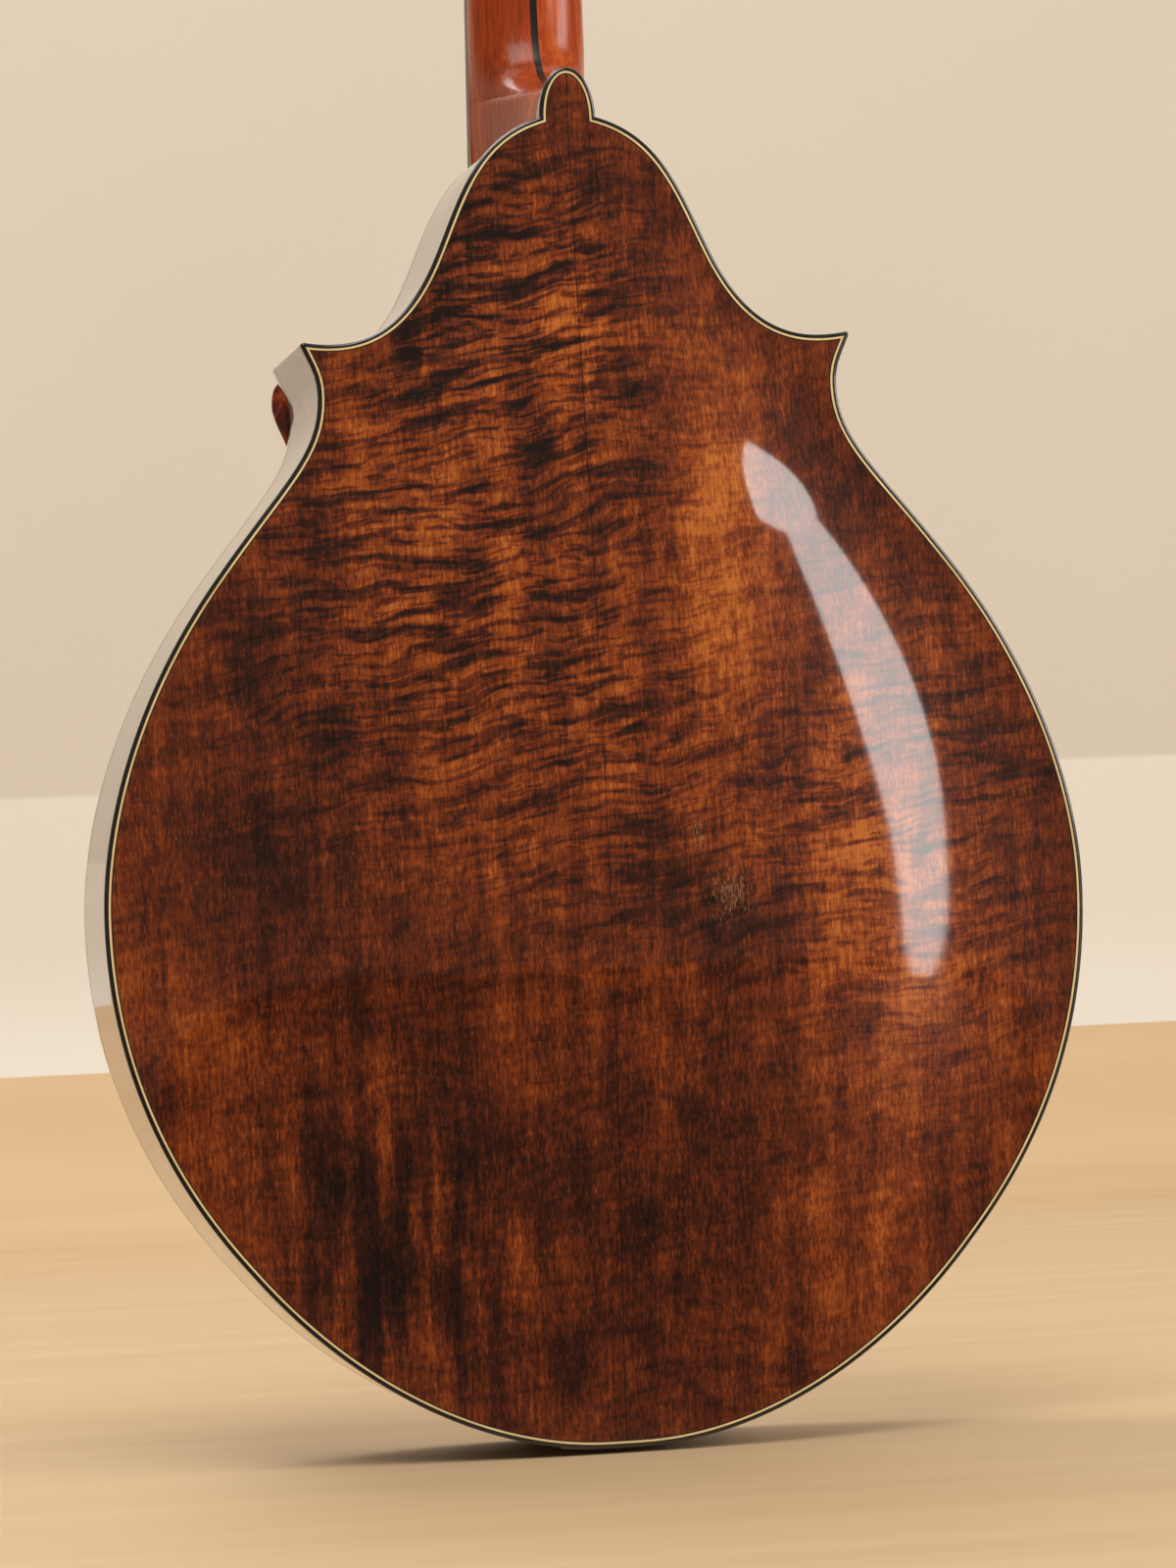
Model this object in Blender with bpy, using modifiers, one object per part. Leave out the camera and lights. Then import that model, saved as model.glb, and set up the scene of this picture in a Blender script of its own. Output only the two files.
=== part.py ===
"""Mandocello: a carved, hollow body with pointed waists, a laminated neck, eight strings in four courses,
a floating bridge and worm-geared tuners. Metres, +Z up along the neck, soundboard towards -Y, back towards
+Y, treble side towards +X. Z is zero at the lowest face of the tailpiece's end flange."""
import math

import bmesh
import bpy
import numpy as np
from mathutils import Matrix, Vector

# Clearances
GAP = 0.0003                   # between pieces that seat on each other
HALF_SEAM = GAP / 2            # each side of a butt joint on the centre line
MERGE = 0.000001               # corners nearer than this are one
FLAT_ANGLE = 0.1               # faces within this many degrees are one plane

# Body outline: half widths, and heights above the lowest point of the body, which follow the notch's
NOTCH_HEIGHT = 0.4827          # where the button leaves the shoulders
BOUT_HALF = 0.1806             # widest place
BOUT_HEIGHT = 0.4067 * NOTCH_HEIGHT
HIP_HALF = 0.1322
HIP_HEIGHT = 0.1405 * NOTCH_HEIGHT
FLANK_HALF = 0.1366
FLANK_HEIGHT = 0.6563 * NOTCH_HEIGHT
WAIST_HALF = 0.0960
WAIST_HEIGHT = 0.7939 * NOTCH_HEIGHT
POINT_HALF = 0.1022            # tip of the pointed waist
POINT_HEIGHT = 0.8343 * NOTCH_HEIGHT
SHOULDER_HALF = 0.0515
SHOULDER_HEIGHT = 0.8937 * NOTCH_HEIGHT
TAIL_FLAT_HALF = 0.0055        # flat stretch at the lowest point
BUTTON_HALF = 0.0104           # back's button over the heel
BUTTON_LENGTH = 0.0184
SHOULDER_CROWN = 0.286         # slope of the shoulders where they reach the button

# Body depth and plates
RIB_DEPTH = 0.0774             # between the outer edges of top and back
RIB_THICKNESS = 0.0022
BINDING_WIDTH = 0.0023
BINDING_HEIGHT = 0.0057
PLATE_THICKNESS = 0.0046
TOP_ARCH = 0.0140
BACK_ARCH = 0.0145
ARCH_CENTRE = 0.4247 * NOTCH_HEIGHT   # height of the highest place of both arches
ARCH_EDGE = 0.0040             # flat margin round the arches
ARCH_FULLNESS = 1.35
SOUNDHOLE_HALF_WIDTH = 0.0320
SOUNDHOLE_HALF_HEIGHT = 0.0240
SOUNDHOLE_HEIGHT = 0.7230 * NOTCH_HEIGHT

# Pieces inside the body
LINING_WIDTH = 0.0050
LINING_HEIGHT = 0.0080
LINING_TIP = 0.0020
NECK_BLOCK_HALF = 0.0340
NECK_BLOCK_LENGTH = 0.0407     # below the notch
TAIL_BLOCK_HALF = 0.0350
TAIL_BLOCK_TOP = 0.0240
POINT_BLOCK_BACK = POINT_HALF - 0.0222    # how far out on the upper curve a point block starts
POINT_BLOCK_LOW = WAIST_HEIGHT + 0.0008   # how far down the lower curve it ends
BRACE_DROP = 0.0430            # below the soundhole's middle
BRACE_WIDTH = 0.0080
BRACE_DEPTH = 0.0120
BRACE_FALL = 0.75              # share of its depth that it loses at its ends
BRACE_END_CLEARANCE = 0.0060

# Neck
NECK_ANGLE = math.radians(4.8)
STRING_LENGTH = 0.6280
JOINT_FRET = 14
FRET_COUNT = 20
NUT_WIDTH = 0.0392
JOINT_WIDTH = 0.0447
NECK_RISE = 0.0012             # fingerboard's underside above the top's edge at the body
NECK_DEPTH_NUT = 0.0160
NECK_DEPTH_BODY = 0.0180
HEEL_FALL = 0.0046
HEEL_POWER = 0.72
STRIP_WIDTH = 0.0027
TENON_HALF = 0.0070
TENON_DEPTH = 0.0120
TENON_FRONT = 0.0240
TENON_BACK = 0.0200
BOARD_THICKNESS = 0.0065
BOARD_OVERRUN = 0.0030
FRET_HEIGHT = 0.0010
FRET_FOOT = 0.0022
FRET_CROWN = 0.0008
NUT_LENGTH = 0.0050
NUT_HEIGHT = 0.0083

# Headstock
HEAD_ANGLE = math.radians(14.0)
HEAD_LENGTH = 0.1560
HEAD_THICKNESS = 0.0140
HEAD_NECK_HALF = 0.0215
HEAD_LOW_HALF = 0.0385
HEAD_TOP_HALF = 0.0425
HEAD_FLARE = 0.0200            # height over which it widens from the neck
HEAD_CREST = 0.0160            # height of its rounded top
VENEER_THICKNESS = 0.0020

# Tuners
TUNERS_PER_SIDE = 4
FIRST_POST = 0.0330
POST_SPACING = 0.0280
POST_OFFSET = HEAD_TOP_HALF - 0.0140
POST_RADIUS = 0.0031
POST_HEIGHT = 0.0150
POST_GROOVE = 0.0065           # height of the string above the veneer
POST_GROOVE_DEPTH = 0.0006
POST_SIDES = 8
RUN_CLEARANCE = 0.0003
GEAR_TEETH = 14
WORM_PITCH = 0.0020
GEAR_RADIUS = GEAR_TEETH * WORM_PITCH / (2 * math.pi)
TOOTH_ADDENDUM = 0.0006
TOOTH_DEDENDUM = 0.0009
TOOTH_BACKLASH = 0.00045       # taken off the width of each tooth and thread
PRESSURE_ANGLE = math.radians(20.0)
GEAR_THICKNESS = 0.0024
WORM_RADIUS = 0.0019           # pitch radius
WORM_TURNS = 3
WORM_STEPS = 8
WORM_ROOT = 0.85               # share of the shaft's radius where the thread starts
SHAFT_RADIUS = 0.0012
SHAFT_SIDES = 8
SHAFT_TAIL = 0.0010            # past the inner lug
PLATE_SHEET = 0.0012
PLATE_HALF_WIDTH = 0.0085
PLATE_END = 0.0130
LUG_THICKNESS = 0.0018
LUG_WIDTH = 0.0052
LUG_BACK = 0.0020              # metal behind the worm shaft
BUTTON_GAP = 0.0060            # from the headstock's edge to the button
TURN_BUTTON_LENGTH = 0.0130
TURN_BUTTON_WIDTH = 0.0180
TURN_BUTTON_THICKNESS = 0.0088
BUTTON_BORE = 0.0050           # depth of the shaft in the button

# Strings, from treble to bass
COURSES = 4
COURSE_RADII = (0.00028, 0.00043, 0.00061, 0.00094)
NUT_COURSE_SPACING = 0.0092
NUT_PAIR_SPACING = 0.0024
BRIDGE_COURSE_SPACING = 0.0136
BRIDGE_PAIR_SPACING = 0.0036
TAIL_SPREAD = 0.72             # spread at the tailpiece over the spread at the bridge
ACTION_AT_JOINT = 0.0036       # string's axis above the fingerboard at the body joint
STRING_SIDES_RESOLUTION = 1

# Bridge
BRIDGE_HALF = 0.0560
BRIDGE_FOOT_DEPTH = 0.0115
BRIDGE_TOP_DEPTH = 0.0080
BRIDGE_END_FALL = 0.74         # share of its height that it loses at its ends
BRIDGE_ARCH_PLACE = 0.0200     # middle of each opening between its feet
BRIDGE_ARCH_HALF = 0.0110
BRIDGE_ARCH_REACH = 0.0075
SADDLE_HEIGHT = 0.0045
SADDLE_DEPTH = 0.0034
SADDLE_HALF = 0.0275
SADDLE_CROWN = 0.0008
SEAT_MARGIN = 0.0001           # more room under a flat foot on the arch

# Tailpiece
TAIL_SHEET = 0.0013
TAIL_HALF = 0.0220
FLANGE_END = 0.0120            # flange's end, from the plane of the back's edge
TAIL_BEND_RISE = 0.0009        # sheet above the top binding
TAIL_BEND = 0.0012             # bevel inside the bend
TAIL_LENGTH = 0.0760
TAIL_SLOPE = math.radians(8.5)
PEG_RADIUS = 0.0011
PEG_HEIGHT = 0.0034
PEG_INSET = 0.0045
COVER_SHEET = 0.0009
COVER_LENGTH = 0.0700
COVER_START = 0.0060
COVER_HEIGHT = 0.0085
COVER_SKIRT = 0.0016
COVER_ROOM = 0.0008
COVER_SHARES = ((0.0, 0.42), (0.05, 0.68), (0.12, 0.86), (0.25, 0.97), (0.5, 1.0), (1.0, 1.0))

# Finger rest
REST_HEIGHT = 0.0125           # underside above the plane of the top's edge
REST_THICKNESS = 0.0025
REST_OUTER = 0.1004            # tip, at the treble waist
REST_OUTER_HEIGHT = POINT_HEIGHT - 0.0112
REST_TOP = NOTCH_HEIGHT - 0.0497
REST_BOTTOM = NOTCH_HEIGHT - 0.1807
REST_STRING_SIDE = 0.0300
REST_NECK_LENGTH = 0.0200      # from the end of the fingerboard to the strings' side
REST_CORNER = 0.0120
REST_LOWER_EDGE = ((0.0390, 0.0), (0.0600, 0.0060), (0.0800, 0.0350))   # x, and height over the bottom
REST_TIP = ((-0.0054, -0.0180), (-0.0010, -0.0070), (0.0, 0.0), (-0.0030, 0.0070), (-0.0144, 0.0120),
            (-0.0444, 0.0160))                                          # from the tip
REST_SHOULDER = (0.0380, -0.0080)                                       # x, and height from the top
REST_POST_X = 0.0800
REST_POST_Z = REST_OUTER_HEIGHT - 0.0155
REST_POST_HALF = 0.0040
REST_POST_FOOT = 0.0080
REST_FOOT_THICKNESS = 0.0018

# Places that follow from the sizes
BODY_BOTTOM = GAP + TAIL_SHEET
FRONT_Y = -RIB_DEPTH / 2
BACK_Y = RIB_DEPTH / 2
JOINT_HEIGHT = NOTCH_HEIGHT + SHOULDER_CROWN * BUTTON_HALF / 2
NUT_ALONG = STRING_LENGTH * (1 - 2 ** (-JOINT_FRET / 12))
BRIDGE_ALONG = NUT_ALONG - STRING_LENGTH
HEAD_ALONG = NUT_ALONG + NUT_LENGTH + GAP
NECK_FRAME = (Matrix.Translation((0, FRONT_Y - NECK_RISE, BODY_BOTTOM + JOINT_HEIGHT))
              @ Matrix.Rotation(-NECK_ANGLE, 4, "X"))
HEAD_FRAME = (NECK_FRAME @ Matrix.Translation((0, 0, HEAD_ALONG))
              @ Matrix.Rotation(-HEAD_ANGLE, 4, "X"))
PLATE_FACE = HEAD_THICKNESS + GAP + PLATE_SHEET
GEAR_MIDDLE = PLATE_FACE + WORM_RADIUS + TOOTH_ADDENDUM + RUN_CLEARANCE
WORM_DISTANCE = GEAR_RADIUS + WORM_RADIUS
TENON_FRONT_Y = FRONT_Y + TENON_FRONT - BINDING_HEIGHT
TENON_BACK_Y = BACK_Y - TENON_BACK


def material(name, colour, roughness, metallic=0.0):
    result = bpy.data.materials.new(name)
    result.use_nodes = True
    shader = result.node_tree.nodes["Principled BSDF"]
    shader.inputs["Base Color"].default_value = (*colour, 1.0)
    shader.inputs["Roughness"].default_value = roughness
    shader.inputs["Metallic"].default_value = metallic
    result.diffuse_color = (*colour, 1.0)
    return result


def make_materials():
    return {
        "stained_maple": material("stained_maple", (0.16, 0.045, 0.015), 0.2),
        "spruce": material("spruce", (0.42, 0.16, 0.045), 0.25),
        "black_binding": material("black_binding", (0.012, 0.011, 0.011), 0.25),
        "inner_wood": material("inner_wood", (0.62, 0.42, 0.24), 0.6),
        "mahogany": material("mahogany", (0.32, 0.075, 0.022), 0.28),
        "ebony": material("ebony", (0.015, 0.013, 0.012), 0.35),
        "bone": material("bone", (0.82, 0.76, 0.62), 0.35),
        "nickel": material("nickel", (0.62, 0.60, 0.56), 0.28, 1.0),
        "brass": material("brass", (0.70, 0.52, 0.24), 0.3, 1.0),
        "bronze_wire": material("bronze_wire", (0.55, 0.36, 0.18), 0.35, 1.0),
        "tortoiseshell": material("tortoiseshell", (0.20, 0.035, 0.012), 0.15),
    }


# Scene housekeeping

def clear_scene():
    for thing in list(bpy.data.objects):
        bpy.data.objects.remove(thing, do_unlink=True)


def new_collection(name):
    result = bpy.data.collections.new(name)
    bpy.context.scene.collection.children.link(result)
    return result


def object_from_bmesh(name, bm, finish, place=None, sharp_angle=None):
    bmesh.ops.recalc_face_normals(bm, faces=bm.faces[:])
    bmesh.ops.triangulate(bm, faces=bm.faces[:])
    mesh = bpy.data.meshes.new(name)
    bm.to_mesh(mesh)
    bm.free()
    return object_from_mesh(name, mesh, finish, place, sharp_angle)


def object_from_mesh(name, mesh, finish, place=None, sharp_angle=None):
    if sharp_angle is not None:
        mesh.shade_smooth()
        mesh.set_sharp_from_angle(angle=math.radians(sharp_angle))
    mesh.materials.clear()
    mesh.materials.append(finish)
    result = bpy.data.objects.new(name, mesh)
    PARTS.objects.link(result)
    if place is not None:
        result.parent = place
    return result


def as_cutter(thing):
    for home in list(thing.users_collection):
        home.objects.unlink(thing)
    CUTTERS.objects.link(thing)
    thing.hide_render = True
    thing.display_type = "WIRE"
    return thing


def boolean(thing, other, operation, solver="EXACT"):
    modifier = thing.modifiers.new(operation.lower(), "BOOLEAN")
    modifier.operation = operation
    modifier.object = other
    modifier.solver = solver
    return modifier


def merge_flat_faces(thing):
    """Joins faces that lie in one plane, after the cuts."""
    modifier = thing.modifiers.new("flat_faces", "DECIMATE")
    modifier.decimate_type = "DISSOLVE"
    modifier.angle_limit = math.radians(FLAT_ANGLE)
    return thing


def evaluated_mesh(thing):
    """The mesh of an object with its modifiers applied, in the object's own frame."""
    bpy.context.view_layer.update()
    graph = bpy.context.evaluated_depsgraph_get()
    return bpy.data.meshes.new_from_object(thing.evaluated_get(graph))


def apply_modifiers(thing):
    mesh = evaluated_mesh(thing)
    thing.modifiers.clear()
    thing.data = mesh
    return thing


# Shapes

def skin(rings, closed=True, wrap=False):
    """A bmesh over rings of equally many points: joined ring to ring, capped or wrapped round."""
    bm = bmesh.new()
    rows = [[bm.verts.new(point) for point in ring] for ring in rings]
    count = len(rows[0])
    pairs = list(zip(rows, rows[1:]))
    if wrap:
        pairs.append((rows[-1], rows[0]))
    for low, high in pairs:
        for i in range(count if closed else count - 1):
            j = (i + 1) % count
            corners = [low[i], low[j], high[j], high[i]]
            if len(set(corners)) == 4:
                bm.faces.new(corners)
    if closed and not wrap:
        bm.faces.new(rows[0][::-1])
        bm.faces.new(rows[-1])
    bmesh.ops.remove_doubles(bm, verts=bm.verts[:], dist=MERGE)
    return bm


def prism(outline, near, far):
    """A bmesh: an outline of (x, z) points between two values of y."""
    return skin([[(x, near, z) for x, z in outline], [(x, far, z) for x, z in outline]])


def cylinder(radius, start, end, sides, axis="Y"):
    """A bmesh of a round bar along Y or X, from start to end, centred on the origin."""
    bm = bmesh.new()
    bmesh.ops.create_cone(bm, cap_ends=True, segments=sides, radius1=radius, radius2=radius,
                          depth=end - start)
    turn = Matrix.Rotation(math.radians(90), 4, "X" if axis == "Y" else "Y")
    middle = (start + end) / 2
    shift = Matrix.Translation((0, middle, 0) if axis == "Y" else (middle, 0, 0))
    bmesh.ops.transform(bm, matrix=shift @ turn, verts=bm.verts[:])
    return bm


def block(low, high):
    """A bmesh box between two corners."""
    bm = bmesh.new()
    bmesh.ops.create_cube(bm, size=1.0)
    size = [h - l for l, h in zip(low, high)]
    middle = [(h + l) / 2 for l, h in zip(low, high)]
    bmesh.ops.transform(bm, matrix=Matrix.Translation(middle) @ Matrix.Diagonal((*size, 1.0)),
                        verts=bm.verts[:])
    return bm


# Body outline

def curve(start, end, first, second, steps):
    """A cubic curve whose handles are given as shares of the way from start to end, as (x, z) shares."""
    start, end = np.array(start), np.array(end)
    span = end - start
    handles = [start, start + span * np.array(first), start + span * np.array(second), end]
    t = np.linspace(0, 1, steps + 1)[:, None]
    weights = ((1 - t) ** 3, 3 * (1 - t) ** 2 * t, 3 * (1 - t) * t ** 2, t ** 3)
    return sum(w * h for w, h in zip(weights, handles))


def joined(pieces):
    return np.concatenate([pieces[0]] + [piece[1:] for piece in pieces[1:]])


NOTCH = (BUTTON_HALF, NOTCH_HEIGHT)
SHOULDER = (SHOULDER_HALF, SHOULDER_HEIGHT)
POINT = (POINT_HALF, POINT_HEIGHT)
WAIST = (WAIST_HALF, WAIST_HEIGHT)
FLANK = (FLANK_HALF, FLANK_HEIGHT)
BOUT = (BOUT_HALF, BOUT_HEIGHT)
HIP = (HIP_HALF, HIP_HEIGHT)
TAIL = (TAIL_FLAT_HALF, 0.0)
UPPER_SEGMENTS = (
    (NOTCH, SHOULDER, (0.613, 0.140), (0.757, 0.583)),
    (SHOULDER, POINT, (0.252, 0.948), (0.582, 1.150)),
)
LOWER_SEGMENTS = (
    (POINT, WAIST, (0.484, 0.415), (1.0, 0.574)),
    (WAIST, FLANK, (0.0, 0.322), (0.333, 0.453)),
    (FLANK, BOUT, (0.745, 0.364), (1.0, 0.739)),
    (BOUT, HIP, (0.0, 0.518), (0.638, 0.840)),
    (HIP, TAIL, (0.247, 0.563), (0.616, 1.0)),
)
UPPER_STEPS = (4, 5)
LOWER_STEPS = (2, 3, 4, 4, 5)
FINE_STEPS = 60
DOME_STEPS = 4
CROWN_STEPS = 2


def run(segments, steps):
    return joined([curve(*segment, count) for segment, count in zip(segments, steps)])


def lengths(points):
    return np.concatenate([[0.0], np.cumsum(np.hypot(*np.diff(points, axis=0).T))])


def inset_run(points, inset):
    """A run moved inwards, towards the body's middle."""
    along = np.gradient(points, axis=0)
    along /= np.hypot(*along.T)[:, None]
    return points + inset * np.stack([along[:, 1], -along[:, 0]], axis=1)


def crossing(first, second):
    """Where two polylines first cross near the end of the first and the start of the second."""
    best = None
    for i in range(len(first) - 2, -1, -1):
        p, r = first[i], first[i + 1] - first[i]
        q, s = second[:-1], second[1:] - second[:-1]
        cross = r[0] * s[:, 1] - r[1] * s[:, 0]
        cross = np.where(np.abs(cross) < 1e-15, 1e-15, cross)
        t = ((q[:, 0] - p[0]) * s[:, 1] - (q[:, 1] - p[1]) * s[:, 0]) / cross
        u = ((q[:, 0] - p[0]) * r[1] - (q[:, 1] - p[1]) * r[0]) / cross
        hits = np.nonzero((t >= 0) & (t <= 1) & (u >= 0) & (u <= 1))[0]
        if len(hits):
            best = i, int(hits[0]), p + t[hits[0]] * r
            break
    return best


def resampled(points, shares):
    done = lengths(points)
    targets = np.array(shares) * done[-1]
    return np.stack([np.interp(targets, done, points[:, k]) for k in (0, 1)], axis=1)


def shares_of(segments, steps):
    done = lengths(run(segments, steps))
    return done / done[-1]


def body_runs(inset):
    """The two smooth runs of one half, button to point and point to tail, moved inwards by inset."""
    upper = inset_run(run(UPPER_SEGMENTS, [FINE_STEPS] * 2), inset)
    lower = inset_run(run(LOWER_SEGMENTS, [FINE_STEPS] * 5), inset)
    if inset > 0:
        i, j, tip = crossing(upper, lower)
        upper = np.vstack([upper[:i + 1], tip])
        lower = np.vstack([tip, lower[j + 1:]])
    upper = resampled(upper, shares_of(UPPER_SEGMENTS, UPPER_STEPS))
    lower = resampled(lower, shares_of(LOWER_SEGMENTS, LOWER_STEPS))
    return upper, np.vstack([lower, [[0.0, lower[-1, 1]]]])


def front_half(inset):
    """Half outline from the centre of the shoulders to the tail, without the button."""
    upper, lower = body_runs(inset)
    first_x, first_z = upper[0]
    crown = [(first_x * k / CROWN_STEPS,
              first_z + SHOULDER_CROWN * first_x * (1 - (k / CROWN_STEPS) ** 2) / 2)
             for k in range(CROWN_STEPS)]
    return np.vstack([crown, upper, lower[1:]])


def back_half(inset):
    """Half outline from the top of the button to the tail."""
    upper, lower = body_runs(inset)
    half = BUTTON_HALF - inset
    turns = [k * math.pi / 2 / DOME_STEPS for k in range(DOME_STEPS + 1)]
    dome = [(half * math.sin(a), NOTCH_HEIGHT + (BUTTON_LENGTH - inset) * math.cos(a)) for a in turns]
    slope = (upper[1, 1] - upper[0, 1]) / (upper[1, 0] - upper[0, 0])
    corner = (half, upper[0, 1] - slope * (upper[0, 0] - half))
    if inset > 0:
        return np.vstack([dome, [corner], upper[1:], lower[1:]])
    return np.vstack([dome, [corner + np.array([0.0, -GAP / 10])], upper[1:], lower[1:]])


def raised(points):
    """Outline points with their heights counted from the origin and not from the tail."""
    return [(float(x), float(z) + BODY_BOTTOM) for x, z in points]


def full_loop(half):
    """A closed loop from a half outline that starts and ends on the centre line."""
    half = list(half)
    return half + [(-x, z) for x, z in half[-2:0:-1]]


def edge_height(x, half):
    """Height of a half outline's upper or lower stretch over a given |x|."""
    order = np.argsort(half[:, 0])
    return float(np.interp(abs(x), half[order, 0], half[order, 1]))


def shoulder_height(x, inset):
    half = front_half(inset)
    return edge_height(x, half[:CROWN_STEPS + UPPER_STEPS[0]])


def tail_height(x, inset):
    half = front_half(inset)
    return edge_height(x, half[-LOWER_STEPS[-1] - 2:])


# Arches

def arch_profile(u):
    return 0.5 * (1 + np.cos(np.pi * np.clip(u, 0, 1) ** ARCH_FULLNESS))


def make_width_table():
    """Half width of the body at each height, with the points of the waist smoothed away."""
    upper = run(UPPER_SEGMENTS, [FINE_STEPS] * 2)
    lower = run(LOWER_SEGMENTS, [FINE_STEPS] * 5)
    upper = upper[upper[:, 1] >= SHOULDER_HEIGHT]
    lower = lower[lower[:, 1] <= WAIST_HEIGHT][FINE_STEPS // 10:]
    points = np.vstack([lower[::-1], upper[::-1], [[0.0, JOINT_HEIGHT]]])
    order = np.argsort(points[:, 1])
    heights = np.linspace(0, JOINT_HEIGHT, 120)
    widths = np.interp(heights, points[order, 1], points[order, 0])
    for _ in range(10):
        widths[1:-1] = (widths[:-2] + 2 * widths[1:-1] + widths[2:]) / 4
    return heights, widths


WIDTH_TABLE = make_width_table()


def arch(x, height, rise):
    """Rise of a carved plate over the plane of its edge, at x and a height above the tail."""
    half = np.maximum(np.interp(height, *WIDTH_TABLE) - ARCH_EDGE, ARCH_EDGE)
    low = (ARCH_CENTRE - height) / (ARCH_CENTRE - ARCH_EDGE)
    high = (height - ARCH_CENTRE) / (JOINT_HEIGHT - ARCH_EDGE - ARCH_CENTRE)
    return rise * arch_profile(np.maximum(low, high)) * arch_profile(np.abs(x) / half)


def top_face(x, z):
    """y of the soundboard's outer face."""
    return FRONT_Y - float(arch(x, z - BODY_BOTTOM, TOP_ARCH))


# Plates

RING_SHARES = (0.0, 0.07, 0.19, 0.40, 0.68, 1.0)
SPINE_LOW = 0.3108 * NOTCH_HEIGHT
SPINE_HIGH = 0.8080 * NOTCH_HEIGHT


def plate(name, half, rise, side, finish):
    """A carved plate: half a surface over the outline, mirrored and thickened inwards. side is -1 or 1."""
    spine = [(0.0, SPINE_LOW + (SPINE_HIGH - SPINE_LOW) * (z - half[-1][1]) / (half[0][1] - half[-1][1]))
             for x, z in half]
    rings = []
    for share in RING_SHARES:
        ring = []
        for (x, z), (sx, sz) in zip(half, spine):
            px, pz = x + (sx - x) * share, z + (sz - z) * share
            py = side * (RIB_DEPTH / 2 + float(arch(px, pz, rise)))
            ring.append((px, py, pz + BODY_BOTTOM))
        rings.append(ring)
    result = object_from_bmesh(name, skin(rings, closed=False), finish)
    mirror = result.modifiers.new("mirror", "MIRROR")
    mirror.use_axis = (True, False, False)
    mirror.merge_threshold = 0.00002
    apply_modifiers(result)
    bm = bmesh.new()
    bm.from_mesh(result.data)
    bmesh.ops.recalc_face_normals(bm, faces=bm.faces[:])
    outward = sum(face.normal.y * face.calc_area() for face in bm.faces)
    if outward * side < 0:
        bmesh.ops.reverse_faces(bm, faces=bm.faces[:])
    bm.to_mesh(result.data)
    bm.free()
    solidify = result.modifiers.new("wall", "SOLIDIFY")
    solidify.thickness = PLATE_THICKNESS
    solidify.offset = -1.0
    return result


def make_plates(finishes):
    edge = BINDING_WIDTH + GAP
    top = plate("top", front_half(edge), TOP_ARCH, -1, finishes["spruce"])
    hole = ellipse_bar(SOUNDHOLE_HALF_WIDTH, SOUNDHOLE_HALF_HEIGHT, 24, FRONT_Y - 2 * TOP_ARCH, FRONT_Y / 2)
    cutter = object_from_bmesh("soundhole_cutter", hole, finishes["spruce"])
    cutter.location = (0, 0, BODY_BOTTOM + SOUNDHOLE_HEIGHT)
    boolean(top, as_cutter(cutter), "DIFFERENCE", "MANIFOLD")
    plate("back", back_half(edge), BACK_ARCH, 1, finishes["stained_maple"])


def ellipse_bar(half_width, half_height, sides, near, far):
    turns = [2 * math.pi * k / sides for k in range(sides)]
    return prism([(half_width * math.cos(a), half_height * math.sin(a)) for a in turns], near, far)


def ring_strip(name, outer, inner, near, far, finish, inner_near=None, inner_far=None):
    """A closed band between two loops of (x, z) points; its inner edge may be shorter than its outer."""
    inner_near = near if inner_near is None else inner_near
    inner_far = far if inner_far is None else inner_far
    rings = [[(x, near, z) for x, z in outer], [(x, far, z) for x, z in outer],
             [(x, inner_far, z) for x, z in inner], [(x, inner_near, z) for x, z in inner]]
    return object_from_bmesh(name, skin(rings, wrap=True), finish)


def make_bindings(finishes):
    for name, half, edge, step in (("top_binding", front_half, FRONT_Y, 1),
                                   ("back_binding", back_half, BACK_Y, -1)):
        outer = full_loop(raised(half(0.0)))
        inner = full_loop(raised(half(BINDING_WIDTH)))
        ring_strip(name, outer, inner, edge, edge + step * BINDING_HEIGHT, finishes["black_binding"])


def clipped(half, low_x):
    """A half outline cut off where it comes nearer to the centre line than low_x."""
    points = [tuple(point) for point in half]
    kept = [point for point in points if point[0] > low_x]
    first, last = points.index(kept[0]), points.index(kept[-1])
    ends = []
    for inside, outside in ((points[first], points[first - 1]), (points[last], points[last + 1])):
        share = (low_x - inside[0]) / (outside[0] - inside[0])
        ends.append((low_x, inside[1] + share * (outside[1] - inside[1])))
    return ends, kept


def rib_outline():
    """Outline of one side rib: along its outer face, and back along its inner face."""
    faces = []
    for inset in (0.0, RIB_THICKNESS):
        half = raised(front_half(inset))
        upper_end, kept = clipped(half, TENON_HALF + 2 * GAP)
        tail_end, _ = clipped(half, HALF_SEAM)
        last = half.index(kept[-1])
        tail = [point for point in half[last + 1:] if point[0] > HALF_SEAM]
        faces.append([upper_end[0]] + kept + tail + [tail_end[1]])
    return faces[0] + faces[1][::-1]


def make_ribs(finishes):
    depth = RIB_DEPTH / 2 - BINDING_HEIGHT - GAP
    outline = rib_outline()
    for name, side in (("rib_treble", 1), ("rib_bass", -1)):
        points = [(side * x, z) for x, z in outline]
        object_from_bmesh(name, prism(points, -depth, depth), finishes["stained_maple"])


# Inside the body

INNER_INSET = RIB_THICKNESS + GAP
LINED_INSET = INNER_INSET + LINING_WIDTH + GAP
INNER_DEPTH = RIB_DEPTH / 2 - PLATE_THICKNESS - 2 * GAP
REBATE_START = INNER_DEPTH - LINING_HEIGHT - GAP


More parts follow.
